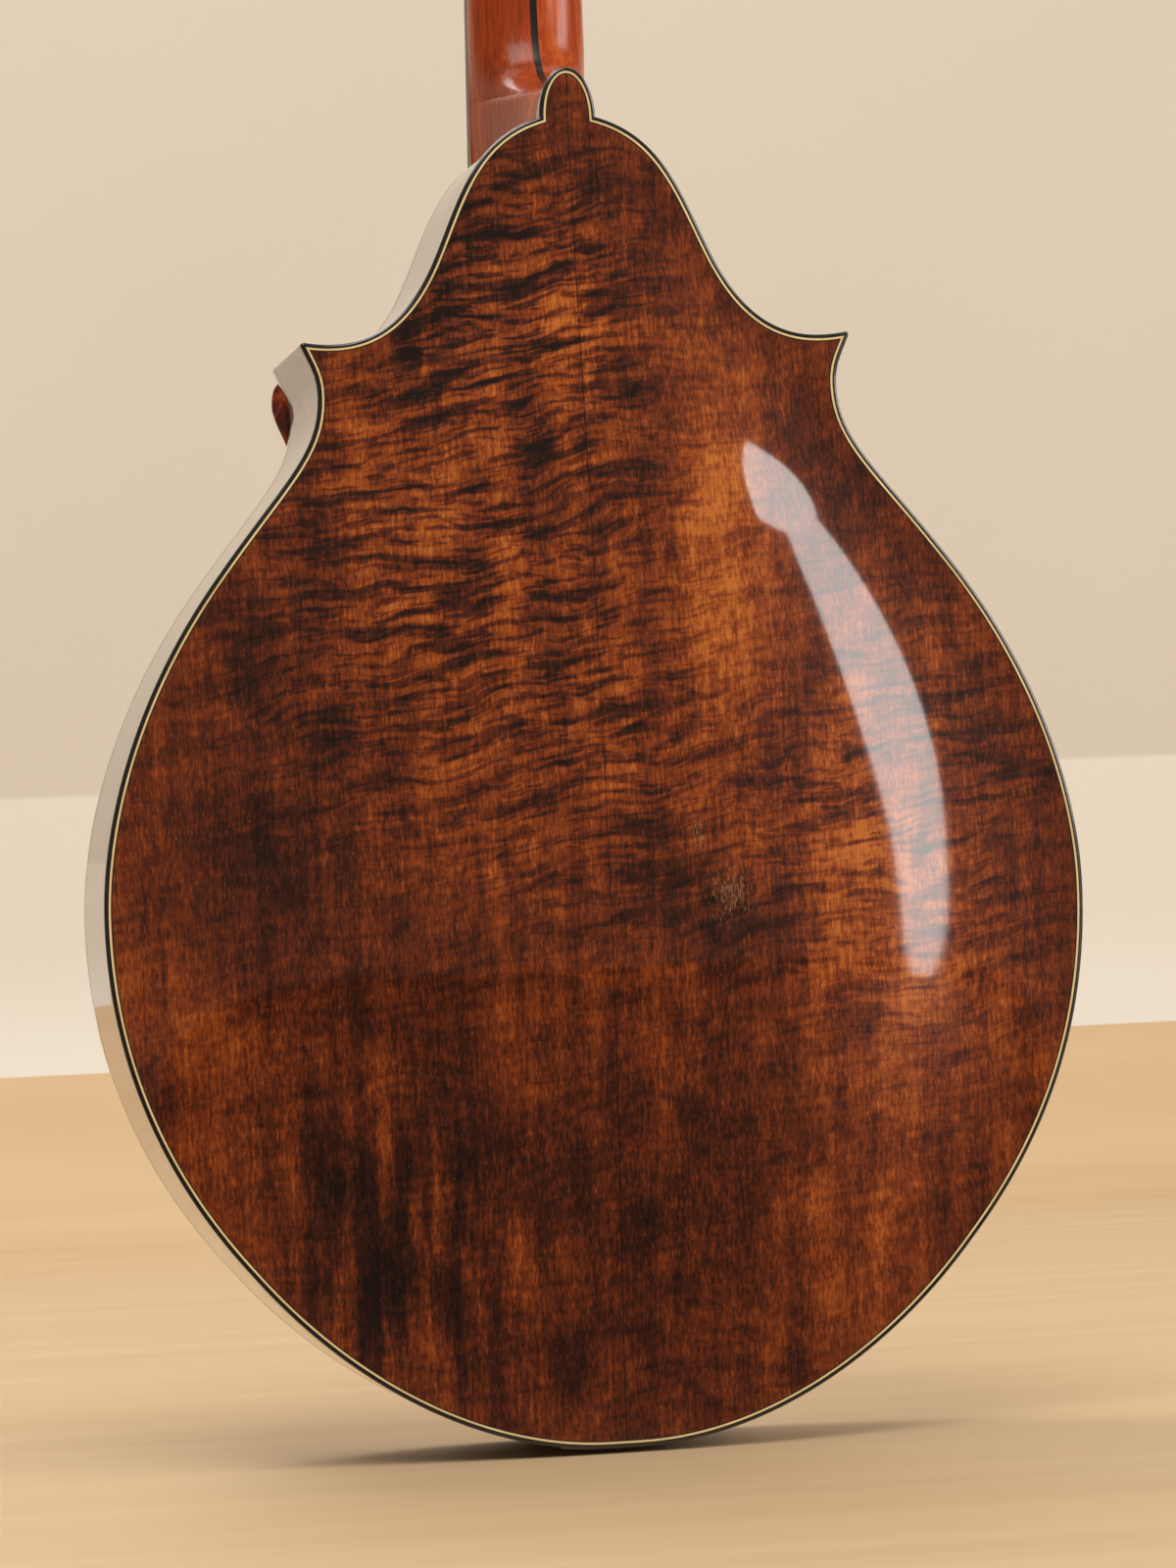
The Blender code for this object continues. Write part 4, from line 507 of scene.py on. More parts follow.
def mahogany(name):
    """Stained mahogany with fine open pores along the grain."""
    finish = Finish(name, 0.42, coat=0.55, coat_roughness=0.20, specular=0.08)
    pores = finish.grain(0.0009, 0.0110)
    ribbon = finish.grain(0.0150, 0.3000)
    grain = finish.grain(0.0030, 0.1000)
    tone = ribbon * 0.50 + grain * 0.50 + pores * 0.45 - 0.22
    finish.colour(finish.ramp(tone, (0.30, srgb(104, 38, 13)), (0.50, srgb(162, 64, 22)),
                              (0.72, srgb(206, 98, 36))))
    finish.bump(pores, 0.00006, 0.35)
    return finish.material


def ebony(name, roughness=0.38):
    finish = Finish(name, roughness, coat=0.15, coat_roughness=0.2, specular=0.4)
    grain = finish.mottle((900.0, 900.0, 40.0))
    finish.colour(finish.ramp(grain, (0.35, srgb(20, 17, 16)), (0.70, srgb(46, 38, 34))))
    finish.rough(roughness - 0.08 + grain * 0.16)
    finish.bump(grain, 0.00004, 0.3)
    return finish.material


def gloss_black(name):
    finish = Finish(name, 0.2, coat=1.0, coat_roughness=0.03, specular=0.5)
    haze = finish.mottle((180.0, 180.0, 180.0))
    finish.colour(finish.ramp(haze, (0.3, srgb(16, 15, 15)), (0.8, srgb(34, 32, 31))))
    finish.rough(0.14 + haze * 0.14)
    return finish.material


def ivory(name, light=srgb(234, 212, 158), dark=srgb(206, 176, 116)):
    """Aged ivory-coloured plastic with a fine grain of parallel lines."""
    finish = Finish(name, 0.28, coat=0.3, coat_roughness=0.08)
    lines = finish.mottle((260.0, 1600.0, 30.0), 3.0, 0.5)
    age = finish.mottle((25.0, 25.0, 25.0), 2.0, 0.5)
    finish.colour(finish.ramp(lines * 0.4 + age * 0.6, (0.30, dark), (0.62, light)))
    return finish.material


def bone(name):
    finish = Finish(name, 0.38, coat=0.1)
    marks = finish.mottle((500.0, 900.0, 500.0))
    finish.colour(finish.ramp(marks, (0.3, srgb(206, 188, 150)), (0.7, srgb(236, 224, 194))))
    return finish.material


def nickel(name):
    """Nickel plate with faint tarnish and fine wiping marks."""
    finish = Finish(name, 0.24, 1.0)
    haze = finish.mottle((60.0, 60.0, 60.0), 5.0)
    marks = finish.mottle((2500.0, 900.0, 200.0), 2.0)
    finish.colour(finish.ramp(haze, (0.35, srgb(168, 160, 146)), (0.65, srgb(206, 202, 194))))
    finish.rough(0.16 + haze * 0.18 + marks * 0.08)
    return finish.material


def brass(name):
    finish = Finish(name, 0.3, 1.0)
    haze = finish.mottle((120.0, 120.0, 120.0))
    finish.colour(finish.ramp(haze, (0.3, srgb(142, 108, 58)), (0.7, srgb(206, 172, 104))))
    finish.rough(0.22 + haze * 0.2)
    return finish.material


def wire(name, light, dark, pitch=0.0):
    """String wire; a pitch winds it round with a finer wire."""
    finish = Finish(name, 0.3, 1.0)
    haze = finish.mottle((90.0, 90.0, 30.0), 3.0, 0.5)
    finish.colour(finish.ramp(haze, (0.3, dark), (0.7, light)))
    if pitch:
        turns = (finish.axis("Z", finish.place()) * (2 * math.pi / pitch)).sine() * 0.5 + 0.5
        finish.bump(turns, 0.00008, 0.6)
    return finish.material


def tortoiseshell(name):
    """Mottled red-brown plastic."""
    finish = Finish(name, 0.16, coat=0.6, coat_roughness=0.03)
    mottle = finish.mottle((75.0, 75.0, 75.0), 3.0, 0.6, 1.4)
    finish.colour(finish.ramp(mottle, (0.38, srgb(40, 14, 9)), (0.50, srgb(112, 36, 18)),
                              (0.66, srgb(186, 84, 40))))
    return finish.material


def bare_wood(name, light, dark):
    finish = Finish(name, 0.65)
    grain = finish.mottle((420.0, 420.0, 420.0))
    drawn = finish.mottle((60.0, 300.0, 12.0), 3.0)
    finish.colour(finish.ramp(grain * 0.4 + drawn * 0.6, (0.3, dark), (0.7, light)))
    finish.bump(grain, 0.0001, 0.3)
    return finish.material


FINISHES = {
    "back": curly_back("curly_maple_back"),
    "rib": curly_ribs("curly_maple_ribs"),
    "spruce": spruce("stained_spruce"),
    "mahogany": mahogany("stained_mahogany"),
    "ebony": ebony("oiled_ebony"),
    "strip": ebony("varnished_ebony", 0.3),
    "black": gloss_black("black_binding"),
    "ivory": ivory("ivory_line"),
    "button": ivory("ivory_button", srgb(244, 226, 186), srgb(214, 186, 136)),
    "bone": bone("polished_bone"),
    "pearl": ivory("pearl_dots", srgb(236, 238, 232), srgb(206, 214, 216)),
    "nickel": nickel("nickel_plate"),
    "brass": brass("turned_brass"),
    "plain_wire": wire("plain_wire", srgb(208, 206, 200), srgb(150, 146, 138)),
    "wound_wire": wire("wound_wire", srgb(200, 150, 96), srgb(128, 88, 52), WINDING_PITCH),
    "tortoiseshell": tortoiseshell("tortoiseshell"),
    "inner": bare_wood("bare_maple", srgb(214, 180, 132), srgb(176, 138, 92)),
}


# Modelling

def deselect():
    bpy.ops.object.select_all(action="DESELECT")


def make_active(piece):
    deselect()
    piece.select_set(True)
    bpy.context.view_layer.objects.active = piece


def edit(piece, *steps):
    """Runs edit-mode operators on everything in a piece; each step is an operator and its settings."""
    make_active(piece)
    bpy.ops.object.mode_set(mode="EDIT")
    bpy.ops.mesh.select_all(action="SELECT")
    for operator, settings in steps:
        operator(**settings)
    bpy.ops.object.mode_set(mode="OBJECT")
    return piece


def modify(piece, kind, **settings):
    """Adds one modifier and applies it."""
    modifier = piece.modifiers.new(kind.lower(), kind)
    for name, value in settings.items():
        setattr(modifier, name, value)
    make_active(piece)
    bpy.ops.object.modifier_apply(modifier=modifier.name)
    return piece


def smooth(piece, angle=35.0):
    make_active(piece)
    bpy.ops.object.shade_smooth_by_angle(angle=math.radians(angle))
    return piece


def settle(piece):
    """Puts the piece's place into its mesh."""
    make_active(piece)
    bpy.ops.object.transform_apply(location=True, rotation=True, scale=True)
    return piece


def joined(pieces, name):
    make_active(pieces[0])
    for piece in pieces[1:]:
        piece.select_set(True)
    if len(pieces) > 1:
        bpy.ops.object.join()
    pieces[0].name = name
    return pieces[0]


def remove(piece):
    bpy.data.objects.remove(piece, do_unlink=True)


def bent_grid(name, places, close_rows=False, close_columns=False):
    """A grid primitive with each corner moved to its place; places is rows by columns by 3."""
    places = np.asarray(places, float)
    if close_rows:
        places = np.concatenate([places, places[:1]], axis=0)
    if close_columns:
        places = np.concatenate([places, places[:, :1]], axis=1)
    rows, columns = places.shape[:2]
    deselect()
    bpy.ops.mesh.primitive_grid_add(x_subdivisions=columns - 1, y_subdivisions=rows - 1, size=1)
    piece = bpy.context.object
    piece.name = name
    piece.data.vertices.foreach_set("co", places.reshape(-1).astype(np.float32))
    piece.data.update()
    return piece


def loft(name, rings, loop=False):
    """A closed skin over rings of points, capped at both ends or joined into a loop."""
    piece = bent_grid(name, rings, close_rows=loop, close_columns=True)
    steps = [(bpy.ops.mesh.remove_doubles, {"threshold": 1e-6})]
    if not loop:
        steps += [(bpy.ops.mesh.select_all, {"action": "DESELECT"}), (bpy.ops.mesh.select_non_manifold, {}),
                  (bpy.ops.mesh.fill_holes, {"sides": 0}), (bpy.ops.mesh.select_all, {"action": "SELECT"})]
    steps.append((bpy.ops.mesh.normals_make_consistent, {"inside": False}))
    return edit(piece, *steps)


def cut(piece, cutter, operation="DIFFERENCE"):
    modify(piece, "BOOLEAN", operation=operation, object=cutter, solver="MANIFOLD")
    remove(cutter)
    return piece


def bevelled(piece, width, segments=2, angle=40.0):
    return modify(piece, "BEVEL", width=width, segments=segments, limit_method="ANGLE",
                  angle_limit=math.radians(angle))


def box_piece(name, low, high, bevel=0.0, segments=2):
    """A cube primitive between two corners, with its edges bevelled in edit mode."""
    deselect()
    middle = [(a + b) / 2 for a, b in zip(low, high)]
    bpy.ops.mesh.primitive_cube_add(size=1, location=middle, scale=[b - a for a, b in zip(low, high)])
    piece = bpy.context.object
    piece.name = name
    settle(piece)
    if bevel:
        edit(piece, (bpy.ops.mesh.bevel, {"offset": bevel, "segments": segments, "affect": "EDGES"}))
    return piece


def prism(name, outline, near, far):
    """A closed bar: an outline of (x, z) points between two values of y."""
    outline = np.asarray(outline, float)
    rings = [np.stack([outline[:, 0], np.full(len(outline), y), outline[:, 1]], axis=1) for y in (near, far)]
    return loft(name, rings)


def turned(name, profile, place, sides=24, loop=False):
    """A turned piece: (radius, along) points spun round the Y axis of a frame."""
    angles = np.linspace(0, 2 * np.pi, sides, endpoint=False)
    rings = [np.stack([r * np.cos(angles), np.full(sides, y), r * np.sin(angles)], axis=1)
             for r, y in profile]
    return in_frame(smooth(loft(name, rings, loop), 40), place)


def in_frame(piece, place):
    """Moves the mesh of a piece that was made in another frame."""
    piece.data.transform(place)
    piece.data.update()
    return piece


def tube(name, points, radius, reference, sides=10):
    """A round wire along a path; reference is a direction that the path never takes."""
    points = np.asarray(points, float)
    along = np.gradient(points, axis=0)
    along /= np.linalg.norm(along, axis=1)[:, None]
    first = np.asarray(reference, float) - (along @ reference)[:, None] * along
    first /= np.linalg.norm(first, axis=1)[:, None]
    second = np.cross(along, first)
    angles = np.linspace(0, 2 * np.pi, sides, endpoint=False)[:, None]
    rings = [point + radius * (np.cos(angles) * u + np.sin(angles) * v)
             for point, u, v in zip(points, first, second)]
    return smooth(loft(name, rings), 60)


def smooth_path(points, steps):
    """A smooth curve through the points."""
    points = np.asarray(points, float)
    slopes = np.gradient(points, axis=0)
    t = np.linspace(0, 1, steps, endpoint=False)[:, None]
    spans = [(2 * t ** 3 - 3 * t ** 2 + 1) * p + (t ** 3 - 2 * t ** 2 + t) * m
             + (3 * t ** 2 - 2 * t ** 3) * q + (t ** 3 - t ** 2) * n
             for p, q, m, n in zip(points, points[1:], slopes, slopes[1:])]
    return np.vstack([*spans, points[-1:]])


# Shares of a screw head's radius and height
SCREW_PROFILE = ((1.0, 0.0), (1.0, 0.25), (0.82, 0.7), (0.45, 0.95), (0.06, 1.0))


def screw_head(place, radius=0.0021, height=0.0010, turn=0.4):
    """A domed slotted screw head that stands along +Y on the origin of its frame."""
    profile = [(radius * wide, height * tall) for wide, tall in SCREW_PROFILE]
    head = turned("screw", profile, Matrix.Identity(4), 20)
    slot = box_piece("slot", (-radius * 1.2, height * 0.45, -radius * 0.12),
                     (radius * 1.2, height * 2, radius * 0.12))
    cut(head, slot)
    return in_frame(smooth(head, 40), place @ Matrix.Rotation(turn, 4, "Y"))


def dress(piece, finish, body, slot, *nodes):
    """Gives a piece its finish, its body and the solids that it stands for."""
    piece.data.materials.clear()
    piece.data.materials.append(FINISHES[finish])
    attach(piece, body)
    if nodes:
        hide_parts(*nodes)
    return piece


# Outline of the body

def curve(start, end, first, second, steps):
    """A cubic curve whose handles are given as shares of the way from start to end."""
    start, end = np.array(start), np.array(end)
    span = end - start
    handles = (start, start + span * np.array(first), start + span * np.array(second), end)
    t = np.linspace(0, 1, steps + 1)[:, None]
    weights = ((1 - t) ** 3, 3 * (1 - t) ** 2 * t, 3 * (1 - t) * t ** 2, t ** 3)
    return sum(w * h for w, h in zip(weights, handles))


def run(segments):
    pieces = [curve(*segment, CURVE_STEPS) for segment in segments]
    return np.concatenate([pieces[0]] + [piece[1:] for piece in pieces[1:]])


UPPER_RUN = run(UPPER_SEGMENTS)
LOWER_RUN = run(LOWER_SEGMENTS)


def inset_run(points, inset):
    """A run moved inwards, towards the middle of the body."""
    along = np.gradient(points, axis=0)
    along /= np.hypot(*along.T)[:, None]
    return points + inset * np.stack([along[:, 1], -along[:, 0]], axis=1)


NEARLY_PARALLEL = 1e-15


def crossing(first, second):
    """Index on each run and the point where the end of the first crosses the start of the second."""
    for i in range(len(first) - 2, -1, -1):
        p, r = first[i], first[i + 1] - first[i]
        q, s = second[:-1], second[1:] - second[:-1]
        cross = r[0] * s[:, 1] - r[1] * s[:, 0]
        cross = np.where(np.abs(cross) < NEARLY_PARALLEL, NEARLY_PARALLEL, cross)
        t = ((q[:, 0] - p[0]) * s[:, 1] - (q[:, 1] - p[1]) * s[:, 0]) / cross
        u = ((q[:, 0] - p[0]) * r[1] - (q[:, 1] - p[1]) * r[0]) / cross
        hits = np.nonzero((t >= 0) & (t <= 1) & (u >= 0) & (u <= 1))[0]
        if len(hits):
            return i, int(hits[0]), p + t[hits[0]] * r
    raise ValueError("the two runs do not cross")


def evenly(points, count):
    done = np.concatenate([[0.0], np.cumsum(np.hypot(*np.diff(points, axis=0).T))])
    targets = np.linspace(0, done[-1], count)
    return np.stack([np.interp(targets, done, points[:, k]) for k in (0, 1)], axis=1)


def side_runs(inset):
    """Upper run, rounded tip of the pointed waist, and lower run, at an inset from the edge."""
    upper, lower = inset_run(UPPER_RUN, inset), inset_run(LOWER_RUN, inset)
    if inset >= POINT_ROUND:
        i, j, tip = crossing(upper, lower)
        arc = np.repeat([tip], TIP_COLUMNS, axis=0)
    else:
        i, j, centre = crossing(inset_run(UPPER_RUN, POINT_ROUND), inset_run(LOWER_RUN, POINT_ROUND))
        j += 1
        start, end = upper[i] - centre, lower[j] - centre
        angles = np.linspace(math.atan2(start[1], start[0]), math.atan2(end[1], end[0]), TIP_COLUMNS)
        reach = np.linspace(np.hypot(*start), np.hypot(*end), TIP_COLUMNS)[:, None]
        arc = centre + reach * np.stack([np.cos(angles), np.sin(angles)], axis=1)
    upper = np.vstack([upper[:i + 1], arc[:1]])
    lower = np.vstack([arc[-1:], lower[j + 1:]])
    return evenly(upper, UPPER_COLUMNS)[:-1], arc, evenly(lower, LOWER_COLUMNS)[1:]


def half_loop(inset, button):
    """Half of the body's outline from the centre line at the neck to the centre line at the tail."""
    upper, arc, lower = side_runs(inset)
    if button:
        half = BUTTON_HALF - inset
        turns = np.linspace(0, math.pi / 2, DOME_COLUMNS)
        rise = (BUTTON_LENGTH - inset) * np.cos(turns)
        dome = np.stack([half * np.sin(turns), NOTCH_HEIGHT + rise], axis=1)
        slope = (upper[1, 1] - upper[0, 1]) / (upper[1, 0] - upper[0, 0])
        corner = [[half, upper[0, 1] - slope * (upper[0, 0] - half)]]
        start = np.vstack([dome, corner, upper[1:]])
    else:
        x, z = upper[0]
        shares = np.arange(CROWN_COLUMNS) / CROWN_COLUMNS
        crown = np.stack([x * shares, z + SHOULDER_CROWN * x * (1 - shares ** 2) / 2], axis=1)
        start = np.vstack([crown, upper])
    end = np.array([[0.0, lower[-1, 1]]])
    return np.vstack([start, arc, lower, end])


def whole_loop(inset, button):
    """The closed outline in the world's (x, z)."""
    half = half_loop(inset, button) + (0.0, BODY_BOTTOM)
    other = half[-2:0:-1] * (-1, 1)
    return np.vstack([half, other])


def make_width_table():
    """Half width of the body at each height, with the pointed waists smoothed away."""
    upper = UPPER_RUN[UPPER_RUN[:, 1] >= SHOULDER[1]]
    lower = LOWER_RUN[LOWER_RUN[:, 1] <= WAIST[1]][CURVE_STEPS // 10:]
    points = np.vstack([lower[::-1], upper[::-1], [[0.0, JOINT_HEIGHT]]])
    order = np.argsort(points[:, 1])
    heights = np.linspace(0, JOINT_HEIGHT, 120)
    widths = np.interp(heights, points[order, 1], points[order, 0])
    for _ in range(10):
        widths[1:-1] = (widths[:-2] + 2 * widths[1:-1] + widths[2:]) / 4
    return heights, widths


WIDTH_TABLE = make_width_table()


def arch_profile(u):
    return 0.5 * (1 + np.cos(np.pi * np.clip(u, 0, 1) ** ARCH_FULLNESS))


def arch(x, height, rise):
    """Rise of a carved plate over the plane of its edge."""
    half = np.maximum(np.interp(height, *WIDTH_TABLE) - ARCH_EDGE, ARCH_EDGE)
    low = (ARCH_CENTRE - height) / (ARCH_CENTRE - ARCH_EDGE)
    high = (height - ARCH_CENTRE) / (JOINT_HEIGHT - ARCH_EDGE - ARCH_CENTRE)
    return rise * arch_profile(np.maximum(low, high)) * arch_profile(np.abs(x) / half)


def top_face(x, z):
    """y of the soundboard's outer face at world x and z."""
    return FRONT_Y - float(arch(x, z - BODY_BOTTOM, TOP_ARCH))


# Body

SPINE_LOW = 0.1500
SPINE_HIGH = 0.3900
PLATE_RINGS = 34
LINE_END = BLACK_WIDTH + IVORY_WIDTH + INNER_LINE_WIDTH
LINE_DEPTH = 0.0022
LINE_PROUD = 0.00002
LINE_GAP = 0.00001
RIB_EDGE = RIB_DEPTH / 2 - BINDING_HEIGHT
RIB_INSET = 0.00005
RIB_SEAM_HALF = 0.00015
RIBS_APART_HALF = 0.0076


def carved_plate(name, button, rise, side):
    """A carved plate inside its trim lines, with its hollowed inner face."""
    loop = whole_loop(LINE_END + LINE_GAP, button)
    middle = len(loop) // 2
    falling = np.minimum.accumulate(loop[:middle + 1, 1])
    falling = np.concatenate([falling, falling[-2:0:-1]])
    low, high = falling.min(), falling.max()
    spine_z = BODY_BOTTOM + SPINE_LOW + (SPINE_HIGH - SPINE_LOW) * (falling - low) / (high - low)
    spine = np.stack([np.zeros(len(loop)), spine_z], axis=1)
    rings = []
    for share in np.linspace(0, 1, PLATE_RINGS):
        ring = loop + (spine - loop) * share
        y = side * (RIB_DEPTH / 2 + arch(ring[:, 0], ring[:, 1] - BODY_BOTTOM, rise))
        rings.append(np.stack([ring[:, 0], y, ring[:, 1]], axis=1))
    piece = bent_grid(name, rings, close_columns=True)
    edit(piece, (bpy.ops.mesh.remove_doubles, {"threshold": 1e-6}),
         (bpy.ops.mesh.normals_make_consistent, {"inside": False}))
    if sum(face.normal.y * face.area for face in piece.data.polygons) * side < 0:
        edit(piece, (bpy.ops.mesh.flip_normals, {}))
    modify(piece, "SOLIDIFY", thickness=PLATE_THICKNESS, offset=-1.0)
    return smooth(piece, 40)


def swept_trim(name, button, side, profile):
    """Trim swept round the edge; the profile is a closed list of (inset, depth under the face)."""
    rings = []
    for inset, depth in profile:
        loop = whole_loop(inset, button)
        y = np.full(len(loop), side * (RIB_DEPTH / 2 - depth))
        rings.append(np.stack([loop[:, 0], y, loop[:, 1]], axis=1))
    return smooth(bent_loop(name, rings), 40)


def bent_loop(name, rings):
    """A closed ring of closed rings."""
    piece = bent_grid(name, rings, close_rows=True, close_columns=True)
    return edit(piece, (bpy.ops.mesh.remove_doubles, {"threshold": 1e-6}),
                (bpy.ops.mesh.normals_make_consistent, {"inside": False}))


def make_trim(which, button, side):
    """Black binding with a rounded corner, the ivory line and the thin black line inside it."""
    turns = np.linspace(0, math.pi / 2, 5)
    corner = [(BINDING_ROUND * (1 - math.cos(a)), BINDING_ROUND * (1 - math.sin(a))) for a in turns]
    black = [(0.0, BINDING_HEIGHT), *corner, (BLACK_WIDTH, 0.0), (BLACK_WIDTH, LINE_DEPTH),
             (BLACK_WIDTH, BINDING_HEIGHT)]
    dress(swept_trim(which + "_binding_black", button, side, black), "black", "body", "black_binding",
          which + "_binding")
    start = BLACK_WIDTH
    for finish, width, proud in (("ivory", IVORY_WIDTH, LINE_PROUD), ("black", INNER_LINE_WIDTH, 0.0)):
        line = [(start, -proud), (start + width, -proud), (start + width, LINE_DEPTH), (start, LINE_DEPTH)]
        dress(swept_trim(f"{which}_line_{finish}", button, side, line), finish, "body", "black_binding")
        start += width


def make_ribs():
    """The two bent ribs, each with its pointed waist, meeting at the tail."""
    loops = [half_loop(inset, False) + (0.0, BODY_BOTTOM) for inset in (RIB_INSET, RIB_THICKNESS)]
    kept = (loops[0][:, 0] > RIBS_APART_HALF) | (loops[0][:, 1] < POINT[1])
    for name, side in (("rib_treble", 1), ("rib_bass", -1)):
        rings = []
        for (x0, z0), (x1, z1) in zip(loops[0][kept], loops[1][kept]):
            x0, x1 = max(x0, RIB_SEAM_HALF), max(x1, RIB_SEAM_HALF)
            rings.append([(side * x0, -RIB_EDGE, z0), (side * x0, RIB_EDGE, z0), (side * x1, RIB_EDGE, z1),
                          (side * x1, -RIB_EDGE, z1)])
        dress(smooth(loft(name + "_bent", rings), 40), "rib", "body", "stained_maple", name)


def make_plates():
    """The carved back, and the carved soundboard with its soundhole."""
    back = carved_plate("back_carved", True, BACK_ARCH, 1)
    dress(back, "back", "body", "stained_maple", "back")
    top = carved_plate("top_carved", False, TOP_ARCH, -1)
    angles = np.linspace(0, 2 * np.pi, 96, endpoint=False)
    hole = np.stack([SOUNDHOLE_HALF_WIDTH * np.cos(angles),
                     BODY_BOTTOM + SOUNDHOLE_HEIGHT + SOUNDHOLE_HALF_HEIGHT * np.sin(angles)], axis=1)
    cut(top, prism("soundhole_cutter", hole, FRONT_Y - 2 * TOP_ARCH, FRONT_Y / 2))
    dress(smooth(top, 40), "spruce", "body", "stained_spruce", "top")


# Neck

HEEL_TOP = NOTCH_HEIGHT + BUTTON_LENGTH - JOINT_HEIGHT
SHAFT_ROUNDNESS = 2.2
HEEL_HOLLOW = 1.7
HEEL_RIDGE = 10
HEEL_LEAD = 0.0240
HEEL_BLEND = 0.0520
SECTION_STEPS = 26
NECK_FOOT = -0.0080
NEAR_HEEL = 0.060
NEAR_HEEL_CROWDING = 2.2
HEAD_BEVEL = 0.0007
TONGUE_END = 0.0040
TONGUE_LIFT = 0.0001


def board_half(along):
    return (JOINT_WIDTH + (NUT_WIDTH - JOINT_WIDTH) * along / NUT_ALONG) / 2


def shaft_depth(along):
    return NECK_DEPTH_BODY + (NECK_DEPTH_NUT - NECK_DEPTH_BODY) * min(1.0, max(0.0, along / NUT_ALONG))


def button_face(along):
    """y of the heel's end under the back's button, in the neck's frame."""
    seat = BACK_Y - BINDING_HEIGHT - GAP
    start = NECK_FRAME.inverted() @ Vector((0, seat, NECK_FRAME.translation.z))
    return start.y + along * math.tan(-NECK_ANGLE)


def heel_share(along):
    """How much of the heel's depth is left at a place along the neck: 1 under the button, falling to 0."""
    if along <= HEEL_TOP:
        return 1.0
    return math.exp(-((along - HEEL_TOP) / HEEL_FALL) ** HEEL_POWER)


def neck_section(along):
    """The heel's hollow flanks, which give way to the shaft's round section above the button."""
    shaft, full = shaft_depth(along), button_face(along)
    depth = shaft + (full - shaft) * heel_share(along)
    done = min(1.0, max(0.0, (along - HEEL_TOP + HEEL_LEAD) / HEEL_BLEND))
    form = 1 - done ** 3 * (10 - 15 * done + 6 * done * done)
    tall = (along + JOINT_HEIGHT - NOTCH_HEIGHT) / BUTTON_LENGTH
    cap = BUTTON_HALF * math.sqrt(max(0.0, 1 - max(0.0, tall) ** 2))
    half = board_half(along)
    points = []
    for step in range(SECTION_STEPS + 1):
        share = math.sin(step / SECTION_STEPS * math.pi / 2)
        rounded = half * (1 - share ** SHAFT_ROUNDNESS) ** (1 / SHAFT_ROUNDNESS)
        hollow = (1 - share * depth / full) ** HEEL_HOLLOW * math.sqrt(1 - share ** HEEL_RIDGE)
        points.append((form * (cap + (half - cap) * hollow) + (1 - form) * rounded, share * depth))
    points[-1] = (max(points[-1][0], STRIP_WIDTH / 8), points[-1][1])
    return [(x, y, along) for x, y in points] + [(-x, y, along) for x, y in points[::-1]]


def head_outline():
    """The headstock's outline in its own frame, from the nut upwards."""
    flare = [(HEAD_NECK_HALF + (HEAD_LOW_HALF - HEAD_NECK_HALF) * wide, HEAD_FLARE * tall)
             for wide, tall in FLARE_SHARES]
    crest = [(HEAD_TOP_HALF * wide, HEAD_LENGTH - HEAD_CREST * (1 - tall)) for wide, tall in CREST_SHARES]
    right = np.vstack([smooth_path(flare, 6), smooth_path(crest, 6)])
    return np.vstack([right, right[-2::-1] * (-1, 1)])


def fret_place(number):
    return NUT_ALONG - STRING_LENGTH * (1 - 2 ** (-number / 12))


def tongue_rings():
    """The neck's tongue between the fingerboard's end and the soundboard."""
    rings = []
    back = NECK_FRAME.inverted()
    for along in np.linspace(fret_place(FRET_COUNT) - BOARD_OVERRUN, TONGUE_END, 12):
        half = board_half(along)
        under = []
        for share in np.linspace(-1, 1, 9):
            place = NECK_FRAME @ Vector((share * half, 0.0, along))
            under.append(back @ Vector((place.x, top_face(place.x, place.z) - TONGUE_LIFT, place.z)))
        rings.append([(half, 0.0, along), (-half, 0.0, along)] + [(p.x, p.y, along) for p in under])
    return rings


def make_neck():
    """Shaft, heel, headstock and tongue in one form, then sawn into two halves and the strip between them."""
    near_heel = HEEL_TOP + NEAR_HEEL * np.linspace(0, 1, 60) ** NEAR_HEEL_CROWDING
    stations = np.concatenate([np.linspace(NECK_FOOT, HEEL_TOP, 26)[:-1], near_heel,
                               np.linspace(HEEL_TOP + NEAR_HEEL, HEAD_ALONG, 24)[1:]])
    core = in_frame(loft("neck_core", [neck_section(a) for a in stations]), NECK_FRAME)
    head = bevelled(prism("head_core", head_outline(), 0.0, HEAD_THICKNESS), HEAD_BEVEL, 3)
    cut(core, in_frame(head, HEAD_FRAME), "UNION")
    seat = whole_loop(-GAP / 3, False)
    cut(core, prism("heel_seat", seat, FRONT_Y - GAP, BACK_Y * 1.5))
    cut(core, in_frame(loft("neck_tongue", tongue_rings()), NECK_FRAME), "UNION")
    seam = STRIP_WIDTH / 2
    wide = HEAD_TOP_HALF * 2
    for name, low, high, finish, slot in (("neck_treble_half", seam, wide, "mahogany", "mahogany"),
                                          ("neck_bass_half", -wide, -seam, "mahogany", "mahogany"),
                                          ("neck_centre_strip", -seam, seam, "strip", "ebony")):
        half = core.copy()
        half.data = core.data.copy()
        bpy.context.scene.collection.objects.link(half)
        half.name = name + "_shaped"
        slab = box_piece("slab", (low, -RIB_DEPTH, -STRING_LENGTH), (high, 2 * RIB_DEPTH, STRING_LENGTH))
        cut(half, in_frame(slab, NECK_FRAME), "INTERSECT")
        dress(smooth(half, 35), finish, "body", slot, name)
    remove(core)


# Fingerboard, nut and headstock

